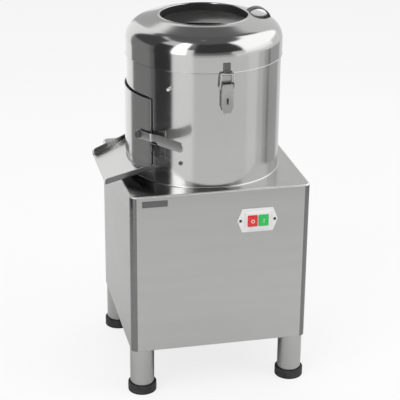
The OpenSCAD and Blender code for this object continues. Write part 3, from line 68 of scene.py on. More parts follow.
lens = bpy.data.cameras.new("photo_view")
lens.sensor_width, lens.lens = SENSOR, FOCAL_PIXELS * SENSOR / PICTURE
lens.clip_start, lens.clip_end = 0.1, 60
camera = bpy.data.objects.new("photo_view", lens)
bpy.context.scene.collection.objects.link(camera)
placing = np.eye(4)
placing[:3, :3] = np.stack([picture_right, picture_up, back], axis=1)
placing[:3, 3] = PLACE
camera.matrix_world = Matrix(placing.tolist())
bpy.context.scene.camera = camera
print("lens", round(lens.lens, 1), "mm")

# %% [markdown]
# ## Grids of points
# Most of the machine is bent or spun sheet, which is a surface with two directions: along and across. A numpy array
# of points, rows along and columns across, holds such a surface, and one formula fills it at once. A Blender
# primitive could be bent into place instead, but a grid gives exact sizes and a neat map of the grain, because the
# first direction of every grid here runs along the brush marks.

# %% From grids to a piece
MM = 0.001


def quads(rows, columns, first=0):
    """Four corners for each cell of a grid of points, where point (i, j) has the number first + i * columns + j."""
    i, j = np.meshgrid(np.arange(rows - 1), np.arange(columns - 1), indexing="ij")
    corner = first + i * columns + j
    return np.stack([corner, corner + columns, corner + columns + 1, corner + 1], axis=-1).reshape(-1, 4)


def lengths(grid, axis):
    """Distance travelled along one direction of a grid, averaged over the other: the running sum of the steps."""
    steps = np.linalg.norm(np.diff(grid, axis=axis), axis=-1).mean(axis=1 - axis)
    return np.concatenate([[0.0], np.cumsum(steps)])


def piece(name, grids, finish, body, nodes=(), keep=None, solid=True, wall=0.0, edge=0.0, crease=35):
    """Joins grids, given in millimetres, into one mesh with a map called grain, whose u is the distance along each
    grid and v the distance across it, in metres. keep(x, y, z) says which cells stay, from their middles. A solid
    gets its normals worked out, a sheet keeps the grid's own side, and wall is the sheet's thickness inwards."""
    points, faces, maps, first = [], [], [], 0
    for grid in grids:
        grid = np.asarray(grid, float) * MM
        cells = quads(*grid.shape[:2], first)
        u, v = np.meshgrid(lengths(grid, 0), lengths(grid, 1), indexing="ij")
        points.append(grid.reshape(-1, 3))
        maps.append(np.stack([u.ravel(), v.ravel()], axis=1))
        faces.append(cells)
        first += grid.shape[0] * grid.shape[1]
    points, maps, faces = np.concatenate(points), np.concatenate(maps), np.concatenate(faces)
    if keep is not None:
        faces = faces[keep(*(points[faces].mean(axis=1) / MM).T)]
    mesh = bpy.data.meshes.new(name)
    mesh.from_pydata(points.tolist(), [], faces.tolist())
    mesh.uv_layers.new(name="grain").data.foreach_set("uv", maps[faces.ravel()].astype(np.float32).ravel())
    work = bmesh.new()
    work.from_mesh(mesh)
    bmesh.ops.remove_doubles(work, verts=work.verts, dist=2e-6)
    bmesh.ops.dissolve_degenerate(work, edges=work.edges, dist=1e-6)
    loose = [v for v in work.verts if not v.link_faces]
    bmesh.ops.delete(work, geom=loose, context="VERTS")
    if solid:
        bmesh.ops.recalc_face_normals(work, faces=work.faces)
    work.to_mesh(mesh)
    work.free()
    return dress(name, mesh, finish, body, nodes, wall, edge, crease)


def dress(name, mesh, finish, body, nodes=(), wall=0.0, edge=0.0, crease=35):
    """Makes the object round a mesh: smooth faces with sharp edges kept, a wall thickness, rounded edges, a finish."""
    mesh.polygons.foreach_set("use_smooth", np.ones(len(mesh.polygons), bool))
    mesh.set_sharp_from_angle(angle=math.radians(crease))
    mesh.materials.clear()
    mesh.materials.append(finish)
    thing = bpy.data.objects.new(name, mesh)
    bpy.context.scene.collection.objects.link(thing)
    if wall:
        thick = thing.modifiers.new("thickness", "SOLIDIFY")
        thick.thickness, thick.offset, thick.use_even_offset = wall * MM, -1.0, True
    if edge:
        round_off = thing.modifiers.new("edges", "BEVEL")
        round_off.width, round_off.segments, round_off.harden_normals = edge * MM, 2, True
        round_off.limit_method, round_off.angle_limit = "ANGLE", math.radians(50)
    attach(thing, body)
    if nodes:
        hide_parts(*nodes)
    print(name, len(mesh.vertices), "points")
    return thing


def from_node(cad_node, finish, body, edge, crease=30):
    """A merged, smooth copy of a CAD piece, for small parts whose shape is right and only the edges are too hard."""
    mesh = frame["nodes"][cad_node].data.copy()
    work = bmesh.new()
    work.from_mesh(mesh)
    bmesh.ops.remove_doubles(work, verts=work.verts, dist=1e-6)
    bmesh.ops.dissolve_limit(work, angle_limit=math.radians(1), verts=work.verts, edges=work.edges)
    work.to_mesh(mesh)
    work.free()
    return dress(cad_node + "_fine", mesh, finish, body, (cad_node,), 0.0, edge, crease)


def of_faces(thing, what):
    """The middles ("center") or the directions ("normal") of an object's faces, as three rows x, y and z."""
    values = np.empty(3 * len(thing.data.polygons))
    thing.data.polygons.foreach_get(what, values)
    return values.reshape(-1, 3).T


def finish_faces(thing, which, *finishes):
    """Adds more finishes to an object. which says for each face the number of its finish, and 0 is the first one."""
    for finish in finishes:
        thing.data.materials.append(finish)
    thing.data.polygons.foreach_set("material_index", which.astype(np.int32))


# %% [markdown]
# ## Finishes
# Stainless sheet is never one flat grey. The mill brushes it, so it has fine lines along one direction, faint cloudy
# bands from rolling, and a reflection that is drawn out across the lines. Here a stretched noise makes the lines, a
# slow noise the clouds, and the shader's anisotropy draws the reflection out along the map's own direction. An image
# texture could do this too, but noise has no seams and needs no file.

# %% Helpers for node materials


def new_finish(name, colour, metallic=0.0, roughness=0.5, **sockets):
    """A material with a Principled shader whose even values are set on its own sockets."""
    finish = bpy.data.materials.new(name)
    finish.use_nodes = True
    shader = finish.node_tree.nodes["Principled BSDF"]
    shader.inputs["Base Color"].default_value = (*colour, 1)
    shader.inputs["Metallic"].default_value = metallic
    shader.inputs["Roughness"].default_value = roughness
    for socket, value in sockets.items():
        shader.inputs[socket.replace("_", " ")].default_value = value
    return finish, finish.node_tree, shader


def node(tree, kind, **values):
    """A new shader node with some of its settings or input values filled in."""
    fresh = tree.nodes.new(kind)
    for key, value in values.items():
        if hasattr(fresh, key):
            setattr(fresh, key, value)
        else:
            fresh.inputs[key.replace("_", " ")].default_value = value
    return fresh


def noise(tree, place, stretch, detail=3.0):
    """A noise whose pattern is stretched by a Mapping node. place is the socket that gives the coordinates."""
    mapping = node(tree, "ShaderNodeMapping", Scale=stretch)
    tree.links.new(place, mapping.inputs["Vector"])
    texture = node(tree, "ShaderNodeTexNoise", Scale=1.0, Detail=detail)
    tree.links.new(mapping.outputs["Vector"], texture.inputs["Vector"])
    return texture.outputs["Fac"]


def spread(tree, value, low, high, start=0.3, end=0.7):
    """Carries a pattern's value from start..end to low..high."""
    ramp = node(tree, "ShaderNodeMapRange", From_Min=start, From_Max=end, To_Min=low, To_Max=high)
    tree.links.new(value, ramp.inputs["Value"])
    return ramp.outputs["Result"]


def two_tones(tree, shader, value, dark, light, start=0.3, end=0.7):
    """Colours the shader between two tones by a pattern."""
    ramp = node(tree, "ShaderNodeValToRGB")
    ramp.color_ramp.elements[0].position, ramp.color_ramp.elements[1].position = start, end
    ramp.color_ramp.elements[0].color, ramp.color_ramp.elements[1].color = (*dark, 1), (*light, 1)
    tree.links.new(value, ramp.inputs["Fac"])
    tree.links.new(ramp.outputs["Color"], shader.inputs["Base Color"])


def raise_by(tree, shader, value, strength, depth):
    """Bump: the surface seems raised by depth millimetres where the pattern is light."""
    bump = node(tree, "ShaderNodeBump", Strength=strength, Distance=depth * MM)
    tree.links.new(value, bump.inputs["Height"])
    tree.links.new(bump.outputs["Normal"], shader.inputs["Normal"])


# %% Brushed and polished steel


FINE_LINES, FINE_CLOUDS = (200, 1500), (60, 90)     # for pieces of a few millimetres


def brushed(name, tone, roughness, anisotropy, lines=(14, 1600), clouds=(2.2, 26), grain=0.03, mapped=True,
            rise=0.04, metal=1.0):
    """Steel with brush lines. lines and clouds are how often the patterns repeat in a metre, along and across."""
    dark, light = [c * (1 - grain) for c in tone], [min(1.0, c * (1 + grain)) for c in tone]
    finish, tree, shader = new_finish(name, tone, metal, roughness, Anisotropic=anisotropy, Anisotropic_Rotation=0.25)
    if mapped:
        place = node(tree, "ShaderNodeUVMap", uv_map="grain").outputs["UV"]
        along = node(tree, "ShaderNodeTangent", direction_type="UV_MAP", uv_map="grain")
        tree.links.new(along.outputs["Tangent"], shader.inputs["Tangent"])
        fine, slow = (lines[0], lines[1], 1), (clouds[0], clouds[1], 1)
    else:
        place = node(tree, "ShaderNodeTexCoord").outputs["Object"]
        fine, slow = (lines[0], lines[0], lines[1]), (clouds[0], clouds[0], clouds[1])
    strokes, bands = noise(tree, place, fine), noise(tree, place, slow, 2.0)
    two_tones(tree, shader, bands, dark, light)
    mixed = node(tree, "ShaderNodeMath", operation="ADD")
    tree.links.new(spread(tree, strokes, -0.04, 0.04), mixed.inputs[0])
    tree.links.new(spread(tree, bands, roughness - 0.03, roughness + 0.03), mixed.inputs[1])
    tree.links.new(mixed.outputs[0], shader.inputs["Roughness"])
    raise_by(tree, shader, strokes, rise, 0.02)
    return finish


STEEL = (0.52, 0.52, 0.515)
cabinet_steel = brushed("brushed_cabinet_sheet", (0.48, 0.48, 0.475), 0.34, 0.35)
# Much darker steel for the rounded corners: painted shade and reflection.
corner_shade_steel = brushed("painted_shade_corner", (0.2, 0.2, 0.198), 0.26, 0.3)
leg_steel = brushed("leg_tube", (0.44, 0.44, 0.435), 0.2, 0.4)
inner_steel = brushed("dull_inside", (0.62, 0.62, 0.615), 0.75, 0.0, metal=0.2)
# Near-black steel for the collar inside the mouth: painted shade.
collar_shade_steel = brushed("shaded_collar", (0.03, 0.03, 0.03), 0.5, 0.0, metal=0.5)
drum_steel = brushed("polished_drum_sheet", (0.56, 0.56, 0.555), 0.16, 0.55, clouds=(1.5, 9), grain=0.015, rise=0.02)
lid_steel = brushed("spun_lid_sheet", (0.58, 0.58, 0.575), 0.13, 0.45, (6, 1200), (1.2, 14), 0.015, rise=0.015)
chute_steel = brushed("brushed_chute_sheet", (0.6, 0.6, 0.595), 0.22, 0.3, grain=0.02)
plain_steel = brushed("turned_steel", (0.5, 0.5, 0.5), 0.24, 0.2, lines=(60, 900), clouds=(20, 60), mapped=False)
bright_steel = brushed("bright_fastener", (0.62, 0.62, 0.61), 0.18, 0.0, FINE_LINES, FINE_CLOUDS, mapped=False)
# Near-white steel for the liner studs' caps: a painted highlight.
cap_highlight_steel = brushed("painted_highlight_cap", (0.95, 0.95, 0.94), 0.6, 0.0, FINE_LINES, FINE_CLOUDS, mapped=False)
deck_steel = brushed("brushed_deck_sheet", STEEL, 0.2, 0.35)
lever_steel = brushed("satin_lever", (0.5, 0.5, 0.495), 0.36, 0.2)
# Near-black steel for the handle strap: painted shade.
strap_shade_steel = brushed("painted_shade_strap", (0.13, 0.13, 0.13), 0.2, 0.2)
latch_steel = brushed("pressed_latch", (0.4, 0.4, 0.395), 0.3, 0.0, FINE_LINES, FINE_CLOUDS, mapped=False)
# Dark dull steel. On the chute's outside, the lever bolt, the door catch and the latch keeper it is painted shade.
dull_and_shade_steel = brushed("dull_steel_and_painted_shade", (0.2, 0.2, 0.2), 0.34, 0.0, FINE_LINES, FINE_CLOUDS, mapped=False)
# Near-white steel for the bend of the deck's rim: a painted highlight along the edge.
bend_highlight_steel = brushed("painted_highlight_bend", (0.9, 0.9, 0.89), 0.55, 0.0, mapped=False)
print("steels ready")

# %% [markdown]
# ## Paint, castings, rubber and plastic
# A casting is lumpy from its sand mould, so it gets a rounded noise as bump. Enamel is smooth with a slight orange
# peel. Rubber is near black but never quite, with a dull sheen and a dusty tone. Moulded plastic has a very fine
# texture from its mould. Grit glued on a disc is a packed field of small sharp cells, which a Voronoi pattern gives.

# %% The other finishes


def cast(name, dark, light, metallic, roughness, size=420, rise=0.35):
    """A sand-cast or enamelled surface: rounded lumps, size of them to a metre, and slow patches of tone."""
    finish, tree, shader = new_finish(name, light, metallic, roughness)
    place = node(tree, "ShaderNodeTexCoord").outputs["Object"]
    two_tones(tree, shader, noise(tree, place, (30, 30, 30), 4.0), dark, light)
    raise_by(tree, shader, noise(tree, place, (size, size, size), 2.0), rise, 0.2)
    uneven = spread(tree, noise(tree, place, (90, 90, 90)), roughness - 0.06, roughness + 0.06)
    tree.links.new(uneven, shader.inputs["Roughness"])
    return finish


def moulded(name, colour, roughness, texture=2500, rise=0.08, dust=0.06, **sockets):
    """Plastic or rubber: a very fine mould texture, and a slightly lighter, duller tone in slow patches."""
    finish, tree, shader = new_finish(name, colour, 0.0, roughness, **sockets)
    place = node(tree, "ShaderNodeTexCoord").outputs["Object"]
    dusty = [min(1.0, c * (1 + dust) + dust * 0.02) for c in colour]
    two_tones(tree, shader, noise(tree, place, (45, 45, 45), 4.0), colour, dusty, 0.35, 0.75)
    raise_by(tree, shader, noise(tree, place, (texture, texture, texture), 1.0), rise, 0.05)
    uneven = spread(tree, noise(tree, place, (120, 120, 120)), roughness - 0.05, roughness + 0.05)
    tree.links.new(uneven, shader.inputs["Roughness"])
    return finish


def gritty(name, dark, light, size):
    """Abrasive grains: cells, size of them to a metre, each with its own tone, and raised in the middle."""
    finish, tree, shader = new_finish(name, dark, 0.0, 0.85, Specular_IOR_Level=0.35)
    place = node(tree, "ShaderNodeTexCoord").outputs["Object"]
    cells = node(tree, "ShaderNodeTexVoronoi", Scale=float(size), Randomness=1.0)
    tree.links.new(place, cells.inputs["Vector"])
    tone = node(tree, "ShaderNodeSeparateColor")
    tree.links.new(cells.outputs["Color"], tone.inputs["Color"])
    two_tones(tree, shader, tone.outputs["Red"], dark, light, 0.1, 0.95)
    raise_by(tree, shader, cells.outputs["Distance"], 0.9, -0.8)
    return finish


cast_iron = cast("cast_housing", (0.16, 0.17, 0.18), (0.24, 0.25, 0.26), 0.6, 0.5)
cast_light = cast("cast_light_metal", (0.42, 0.42, 0.42), (0.54, 0.54, 0.54), 0.9, 0.42, 500)
enamel = cast("frame_enamel", (0.27, 0.28, 0.29), (0.33, 0.34, 0.35), 0.0, 0.42, 260, 0.12)
motor_enamel = cast("motor_enamel", (0.07, 0.12, 0.19), (0.1, 0.16, 0.25), 0.0, 0.36, 300, 0.12)
rubber = moulded("black_rubber", (0.016, 0.016, 0.017), 0.62, 1800, 0.15, 0.5)
black_plastic = moulded("black_plastic", (0.02, 0.02, 0.021), 0.42)
grey_plastic = moulded("grey_plastic", (0.3, 0.3, 0.31), 0.45)
white_plastic = moulded("white_switch_plastic", (0.80, 0.80, 0.79), 0.38, dust=0.01)
red_plastic = moulded("red_button_plastic", (0.68, 0.012, 0.018), 0.3, dust=0.04, Coat_Weight=0.3)
green_plastic = moulded("green_button_plastic", (0.008, 0.5, 0.085), 0.3, dust=0.04, Coat_Weight=0.3)
mark_paint = moulded("mark_paint", (0.85, 0.85, 0.84), 0.5, dust=0.01)
grit = gritty("abrasive_grit", (0.045, 0.044, 0.043), (0.16, 0.155, 0.15), 520)
lining = gritty("abrasive_lining", (0.42, 0.415, 0.41), (0.62, 0.615, 0.61), 520)
badge_metal = brushed("bare_badge_plate", (0.16, 0.16, 0.165), 0.35, 0.0, lines=(40, 2200), mapped=False)
print("other finishes ready")

# %% [markdown]
# ## A finish for every CAD piece
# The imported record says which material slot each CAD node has. Each slot gets one of the finishes above, and the
# pieces that are rebuilt further down hide their node. A CAD mesh has no map of its own, so these finishes read
# Object coordinates, which are the machine's own metres.

# %% Give the CAD nodes their finishes
object_steel = brushed("sheet_inside", (0.5, 0.5, 0.495), 0.32, 0.0, mapped=False)
by_slot = {
    "brushed_sheet": object_steel, "polished_sheet": object_steel, "plain_steel": plain_steel,
    "zinc_fastener": bright_steel, "painted_frame": enamel, "cast_part": cast_iron, "cast_aluminium": cast_light,
    "motor_paint": motor_enamel, "black_rubber": rubber, "grit": grit, "black_plastic": black_plastic,
    "white_plastic": white_plastic, "red_plastic": red_plastic, "green_plastic": green_plastic,
    "grey_plastic": grey_plastic, "badge_plate": badge_metal,
}
slot_of = {row["node"]: row["material_slot"] for row in frame["record"]["subparts"]}
for name, thing in frame["nodes"].items():
    thing.data.materials.clear()
    thing.data.materials.append(by_slot[slot_of[name]])
frame["nodes"]["abrasive_liner"].data.materials[0] = lining
print("finished", len(frame["nodes"]), "CAD nodes,", len(slot_of), "of them by slot")

# %% [markdown]
# ## Light and floor
# The machine stands on a plain pale floor under soft, even light. The background is a world of plain white that only
# the camera and the reflections see at full strength. The floor glows for the camera alone: what the camera sees is
# mostly that glow, so it looks almost white, and the rest still shows the machine's soft shadow. Three large lamps
# stand for windows, and a narrow one reaches through the mouth to the lining.

# %% World, lamps and floor
SKY_ON_THE_MACHINE, FLOOR_GLOW, FLOOR_HALF = 0.55, 0.8, 25      # two shares of full strength, and metres
scene = bpy.context.scene
scene.view_settings.view_transform = "Standard"
world = bpy.data.worlds.new("pale_room")
scene.world = world
world.use_nodes = True
rays = node(world.node_tree, "ShaderNodeLightPath")
seen = node(world.node_tree, "ShaderNodeMath", operation="MAXIMUM")
direct = node(world.node_tree, "ShaderNodeMath", operation="MAXIMUM")
world.node_tree.links.new(rays.outputs["Is Camera Ray"], seen.inputs[0])
world.node_tree.links.new(rays.outputs["Is Glossy Ray"], seen.inputs[1])
world.node_tree.links.new(seen.outputs[0], direct.inputs[0])
world.node_tree.links.new(rays.outputs["Is Transmission Ray"], direct.inputs[1])
sky = world.node_tree.nodes["Background"]
sky.inputs["Color"].default_value = (1, 1, 1, 1)
world.node_tree.links.new(spread(world.node_tree, direct.outputs[0], SKY_ON_THE_MACHINE, 1.0, 0.0, 1.0),
                           sky.inputs["Strength"])

lamps = (   # name, kind, place, height of the aim, power in watts, side in metres or cone in degrees
    ("lamp_left", "AREA", (-1.9, -1.7, 2.6), 0.45, 40, 2.0), ("lamp_right", "AREA", (2.1, -1.3, 2.4), 0.45, 26, 2.0),
    ("lamp_above", "AREA", (0.1, 0.5, 3.2), 0.45, 36, 2.6), ("lamp_mouth", "SPOT", (-0.95, -1.74, 1.92), 0.83, 85, 11),
)
for name, kind, place, aim, power, wide in lamps:
    light = bpy.data.lights.new(name, kind)
    light.energy = power
    if kind == "SPOT":
        light.spot_size, light.spot_blend, light.shadow_soft_size = math.radians(wide), 0.5, 0.12
    else:
        light.size = wide
    lamp = bpy.data.objects.new(name, light)
    bpy.context.scene.collection.objects.link(lamp)
    lamp.location = place
    towards = np.array([0.0, 0.0, aim]) - np.array(place)
    turn = math.atan2(towards[1], towards[0]) - math.pi / 2
    lamp.rotation_euler = (math.atan2(math.hypot(*towards[:2]), -towards[2]), 0.0, turn)
    lamp.visible_glossy = False

floor_paint = bpy.data.materials.new("pale_floor")
floor_paint.use_nodes = True
tree = floor_paint.node_tree
paint = tree.nodes["Principled BSDF"]
paint.inputs["Base Color"].default_value = (0.8, 0.8, 0.8, 1)
paint.inputs["Roughness"].default_value = 0.9
paint.inputs["Specular IOR Level"].default_value = 0.1
glow = node(tree, "ShaderNodeEmission", Color=(1, 1, 1, 1), Strength=1.0)
blend = node(tree, "ShaderNodeMixShader")
rays = node(tree, "ShaderNodeLightPath")
tree.links.new(spread(tree, rays.outputs["Is Camera Ray"], 0.0, FLOOR_GLOW, 0.0, 1.0), blend.inputs["Fac"])
tree.links.new(paint.outputs[0], blend.inputs[1])
tree.links.new(glow.outputs[0], blend.inputs[2])
tree.links.new(blend.outputs[0], tree.nodes["Material Output"].inputs["Surface"])


def staged(name, grid, finish):
    """A piece of the studio: a surface through a grid of points in metres."""
    mesh = bpy.data.meshes.new(name)
    mesh.from_pydata(grid.reshape(-1, 3).tolist(), [], quads(*grid.shape[:2]).tolist())
    mesh.materials.append(finish)
    thing = bpy.data.objects.new(name, mesh)
    bpy.context.scene.collection.objects.link(thing)
    return thing


reach = np.linspace(-FLOOR_HALF, FLOOR_HALF, 3)
x, y = np.meshgrid(reach, reach, indexing="ij")
staged("floor", np.stack([x, y, np.zeros_like(x)], axis=-1), floor_paint)
print("lamps", len(lamps))

# %% [markdown]
# ## What the steel reflects
# Polished steel shows its room and hardly any tone of its own. The photograph's drum has a bright window on the left,
# a dark stripe beside it, and even grey walls, so the studio gets a round screen with patches of those tones. Only
# reflections see it: it casts no light and no shadow, and the camera looks through it. The screen is part of a sphere
# round the drum's middle. Numpy paints the patches on it one over another, softens their edges, and keeps the tone
# at each point, which drives the glow. Separate cards could stand there instead, but gaps between them would show.

# %% The screen round the machine
SCREEN_MIDDLE, SCREEN_R = np.array([0.0, 0.0, 0.68]), 1.5
LOW, SOFTNESS = -30, 3              # lowest edge in degrees, and how often the edges are softened
patches = {
    # tone, compass from and to counted from the right through the back, height from and to, all in degrees
    "far_left": (0.27, 134, 178, LOW, 20), "far_left_upper": (0.08, 134, 186, 20, 60),
    "left_end": (0.18, 178, 186, LOW, 20), "dark_post": (0.045, 186, 214, LOW, 44),
    "post_cap": (0.8, 186, 214, 44, 64), "window": (3.2, 214, 233, 4, 64),
    "window_foot": (1.0, 214, 233, LOW, 4), "window_side": (1.0, 233, 244, LOW, 32),
    "front_low": (0.78, 244, 308, LOW, -6), "front_rail": (0.55, 244, 300, -6, 5),
    "front_mid": (0.2, 244, 296, 5, 17), "front_upper": (0.055, 244, 314, 17, 64),
    "corner_upper": (0.2, 233, 244, 32, 64), "front_right": (0.8, 296, 316, 5, 17),
    "right_rail": (0.95, 308, 352, -6, 5), "right_low": (0.78, 308, 322, LOW, -6),
    "right_low_bright": (0.88, 322, 340, LOW, -6), "right_low_fade": (0.68, 340, 352, LOW, -6),
    "right_low_dark": (0.48, 352, 361, LOW, -6), "right_line": (0.2, 361, 365, LOW, -6),
    "right_sill": (1.35, 316, 368, 5, 17), "right_window": (1.6, 314, 396, 17, 62),
    "back_right_sill": (0.85, 368, 396, -6, 17), "back_right_low": (0.46, 365, 396, LOW, -6),
    "right_mid": (0.95, 352, 368, -6, 5), "back_right": (0.75, 396, 444, LOW, 46),
    "back": (1.1, 84, 134, LOW, 44), "back_corner": (0.5, 84, 99, 8, 36), "back_peak": (1.1, 98, 120, 44, 51),
    "back_top_right": (0.16, 36, 98, 46, 64), "back_top": (0.15, 98, 134, 51, 64), "ceiling": (0.14, 0, 360, 64, 89),
}
turns, rises = np.arange(0, 361), np.arange(LOW, 90)
tones = np.ones((len(turns), len(rises)))
for tone, start, end, low, high in patches.values():
    inside = ((turns - start) % 360 <= end - start)[:, None] & (rises >= low) & (rises <= high)
    tones[inside] = tone
for _ in range(SOFTNESS):
    tones = (np.roll(tones[:-1], 1, axis=0) + 2 * tones[:-1] + np.roll(tones[:-1], -1, axis=0)) / 4
    tones = np.concatenate([tones, tones[:1]])
    padded = np.pad(tones, ((0, 0), (1, 1)), mode="edge")
    tones = (padded[:, :-2] + 2 * tones + padded[:, 2:]) / 4
a, e = np.meshgrid(np.radians(turns), np.radians(rises), indexing="ij")
way = np.stack([np.cos(e) * np.cos(a), np.cos(e) * np.sin(a), np.sin(e)], axis=-1)
glowing = bpy.data.materials.new("room_tones")
glowing.use_nodes = True
tree = glowing.node_tree
light = node(tree, "ShaderNodeEmission", Color=(1, 1, 1, 1))
painted = node(tree, "ShaderNodeAttribute")
painted.attribute_name = "tone"
tree.links.new(painted.outputs["Fac"], light.inputs["Strength"])
tree.links.new(light.outputs[0], tree.nodes["Material Output"].inputs["Surface"])
room = staged("room_screen", SCREEN_MIDDLE + SCREEN_R * way, glowing)
room.data.attributes.new("tone", "FLOAT", "POINT").data.foreach_set("value", tones.ravel().astype(np.float32))
room.visible_camera = room.visible_diffuse = room.visible_shadow = room.visible_transmission = False
print("patches", len(patches), "painted on", tones.size, "points")

# %% [markdown]
# ## Measures of the machine
# These are the CAD part's own sizes in millimetres, written here once. The rebuilt surfaces follow them exactly,
# because the machine's box and its moving gaps belong to the CAD part.

# %% Sizes in millimetres
CABINET = (420.0, 400.0, 14.0)      # width, depth, corner radius
Z_CABINET, Z_DECK, DECK_BEND, SHEET = 115.5, 504.5, 3.0, 1.5
SERVICE = (150.0, 190.5, 440.5)     # half width, lower and upper edge of the opening in the back
DRUM_R, Z_RIM = 179.0, 788.0
OUTLET = (33.0, 549.5, 695.5)       # half angle, lower and upper edge
DOOR_R, DOOR_HALF, Z_DOOR, DOOR_H = 183.7, 37.3, 545.0, 157.0
CHUTE_X, CHUTE_Z, CHUTE_SLOPE, CHUTE_HALF, CHUTE_SPREAD, CHUTE_SIDE = -249.0, 500.0, 19.1, 99.0, 0.1784, 14.0
CHUTE_TOP = Z_DOOR - 0.6
LEG = (181.0, 171.0, 28.5)          # middle of a leg and its radius
FOOT_R, FOOT_H = 33.7, 22.0
LID_R, Z_SKIRT, Z_SHOULDER, SHOULDER_R, LID_SLOPE = 181.5, 775.0, 811.0, 42.0, 15.0
MOUTH_R, LIP_W, COLLAR_H, LID_T = 100.5, 6.4, 18.0, 1.5
LEVER_ANGLE, LEVER_R, LEVER_Z, LEVER_TILT = -153.0, 186.9, 613.0, 4.0
SWITCH = (84.4, -200.0, 428.3)      # middle of the switch on the front
WINDOW = (27.55, 19.8)              # half width and half height of the opening behind the switch
BUTTON = (22.5, 27.0, 13.0)         # width, height, distance from the switch's middle
BUTTON_OUT, DOME = 10.5, 0.9        # how far a button stands out of the cabinet, and its face's curve


def around(steps=240, start=90.0, turn=360.0):
    """Angles round the drum, from start, in radians. They begin behind the machine, where the map's seam is hidden."""
    return np.radians(start + np.linspace(0, turn, steps + 1))


def spin(angles, profile, middle=(0.0, 0.0)):
    """A turned surface: rows go round, columns follow the profile of [radius, height] points."""
    r, z = np.asarray(profile, float).T
    across, up = np.outer(np.cos(angles), r), np.outer(np.sin(angles), r)
    return np.stack([across + middle[0], up + middle[1], np.broadcast_to(z, across.shape)], axis=-1)


def bend(centre, radius, start, end, steps=6):
    """Points of an arc in a profile, from start to end degrees round a centre."""
    a = np.radians(np.linspace(start, end, steps + 1))
    return [[centre[0] + radius * math.cos(t), centre[1] + radius * math.sin(t)] for t in a]


print("lid top at", round(Z_SHOULDER + SHOULDER_R, 1), "mm at the shoulder's crown")

# %% [markdown]
# ## Cabinet
# The cabinet is welded from flat brushed sheets and rolled corner posts, and the rim of its deck is bent down. The
# welds are ground flush, so one surface shows them all: a rounded rectangle that climbs the walls, turns over the
# bend and then narrows to a circle under the drum. The service opening and the switch's window are cells left out of
# the grid, and a Solidify modifier gives the sheet its thickness, so their edges are real. A narrow row of cells
# beside each edge keeps the flat sheet's shading even. The rounded corners get a much darker steel, painted shade
# and reflection, and the bend gets a near-white steel, a painted highlight.

# %% Cabinet walls and deck
WALL_STEPS, BEND_STEPS, DECK_STEPS = 13, 6, 8       # cells up or along a wall, round the bend, and across the deck
NARROW = 0.5                        # width of the cells beside an edge
UNDER_DRUM = 172.0                  # radius of the circle where the deck ends


def rounded_outline(width, depth, radius, back_stops, front_stops, corner_steps=8):
    """A rounded rectangle from its back left corner, counterclockwise. The stops are places along the back and the
    front edge where a grid line must fall."""
    half_w, half_d = width / 2 - radius, depth / 2 - radius
    corners = [(-half_w, half_d, 90), (-half_w, -half_d, 180), (half_w, -half_d, 270), (half_w, half_d, 0)]
    points = []
    for (cx, cy, start), (nx, ny, _) in zip(corners, corners[1:] + corners[:1]):
        t = np.radians(np.linspace(start, start + 90, corner_steps + 1))
        points.append(np.stack([cx + radius * np.cos(t), cy + radius * np.sin(t)], axis=1))
        last = points[-1][-1]
        first = np.array([nx, ny]) + radius * np.array([math.cos(t[-1]), math.sin(t[-1])])
        marks = np.linspace(0, 1, WALL_STEPS + 1)[1:-1]
        if cy > 0 and ny > 0:
            marks = np.sort(np.concatenate([marks, [(1 - s / half_w) / 2 for s in back_stops]]))
        if cy < 0 and ny < 0:
            marks = np.sort(np.concatenate([marks, [(1 + s / half_w) / 2 for s in front_stops]]))
        points.append(last + marks[:, None] * (first - last))
    ring = np.concatenate(points)
    return np.concatenate([ring, ring[:1]])


window = [SWITCH[0] - WINDOW[0], SWITCH[0] + WINDOW[0], SWITCH[2] - WINDOW[1], SWITCH[2] + WINDOW[1]]
outline = rounded_outline(*CABINET, (-SERVICE[0] - NARROW, -SERVICE[0], SERVICE[0], SERVICE[0] + NARROW),
                          (window[0] - NARROW, *window[:2], window[1] + NARROW))
to_circle = outline / np.linalg.norm(outline, axis=1, keepdims=True) * UNDER_DRUM
wall_z = np.unique(np.concatenate([np.linspace(Z_CABINET, Z_DECK - DECK_BEND, WALL_STEPS + 1), [Z_CABINET + NARROW],
                                   SERVICE[1:], [SERVICE[1] - NARROW, SERVICE[2] + NARROW],
                                   window[2:], [window[2] - NARROW, window[3] + NARROW]]))
shrink = (np.array(CABINET[:2]) - 2 * DECK_BEND) / np.array(CABINET[:2])
columns = [np.column_stack([outline, np.full(len(outline), z)]) for z in wall_z]
for t in np.radians(np.linspace(0, 90, BEND_STEPS + 1))[1:]:
    pulled = outline * (1 + (shrink - 1) * (1 - math.cos(t)))
    columns.append(np.column_stack([pulled, np.full(len(outline), Z_DECK - DECK_BEND + DECK_BEND * math.sin(t))]))
edge_of_deck = columns[-1]
for t in np.linspace(0, 1, DECK_STEPS + 1)[1:]:
    flat = edge_of_deck[:, :2] * (1 - t) + to_circle * t
    columns.append(np.column_stack([flat, np.full(len(outline), Z_DECK)]))


def off_the_openings(x, y, z):
    """Cells that are neither in the service opening of the back wall nor in the switch's window in the front."""
    at_wall = CABINET[1] / 2 - 10
    service = (np.abs(x) < SERVICE[0]) & (y > at_wall) & (z > SERVICE[1]) & (z < SERVICE[2])
    return ~(service | ((x > window[0]) & (x < window[1]) & (y < -at_wall) & (z > window[2]) & (z < window[3])))


cabinet = piece("cabinet_sheet", [np.stack(columns, axis=1)], cabinet_steel, "frame",
                ("front_sheet", "side_sheets", "back_sheet", "corner_posts", "deck_sheet"), off_the_openings,
                solid=False, wall=SHEET)
x, y, z = of_faces(cabinet, "center") / MM
on_deck = z > Z_DECK - 0.02
# Faces on the bend get the near-white steel, a painted highlight.
on_bend = (z > Z_DECK - DECK_BEND * 0.9) & ~on_deck
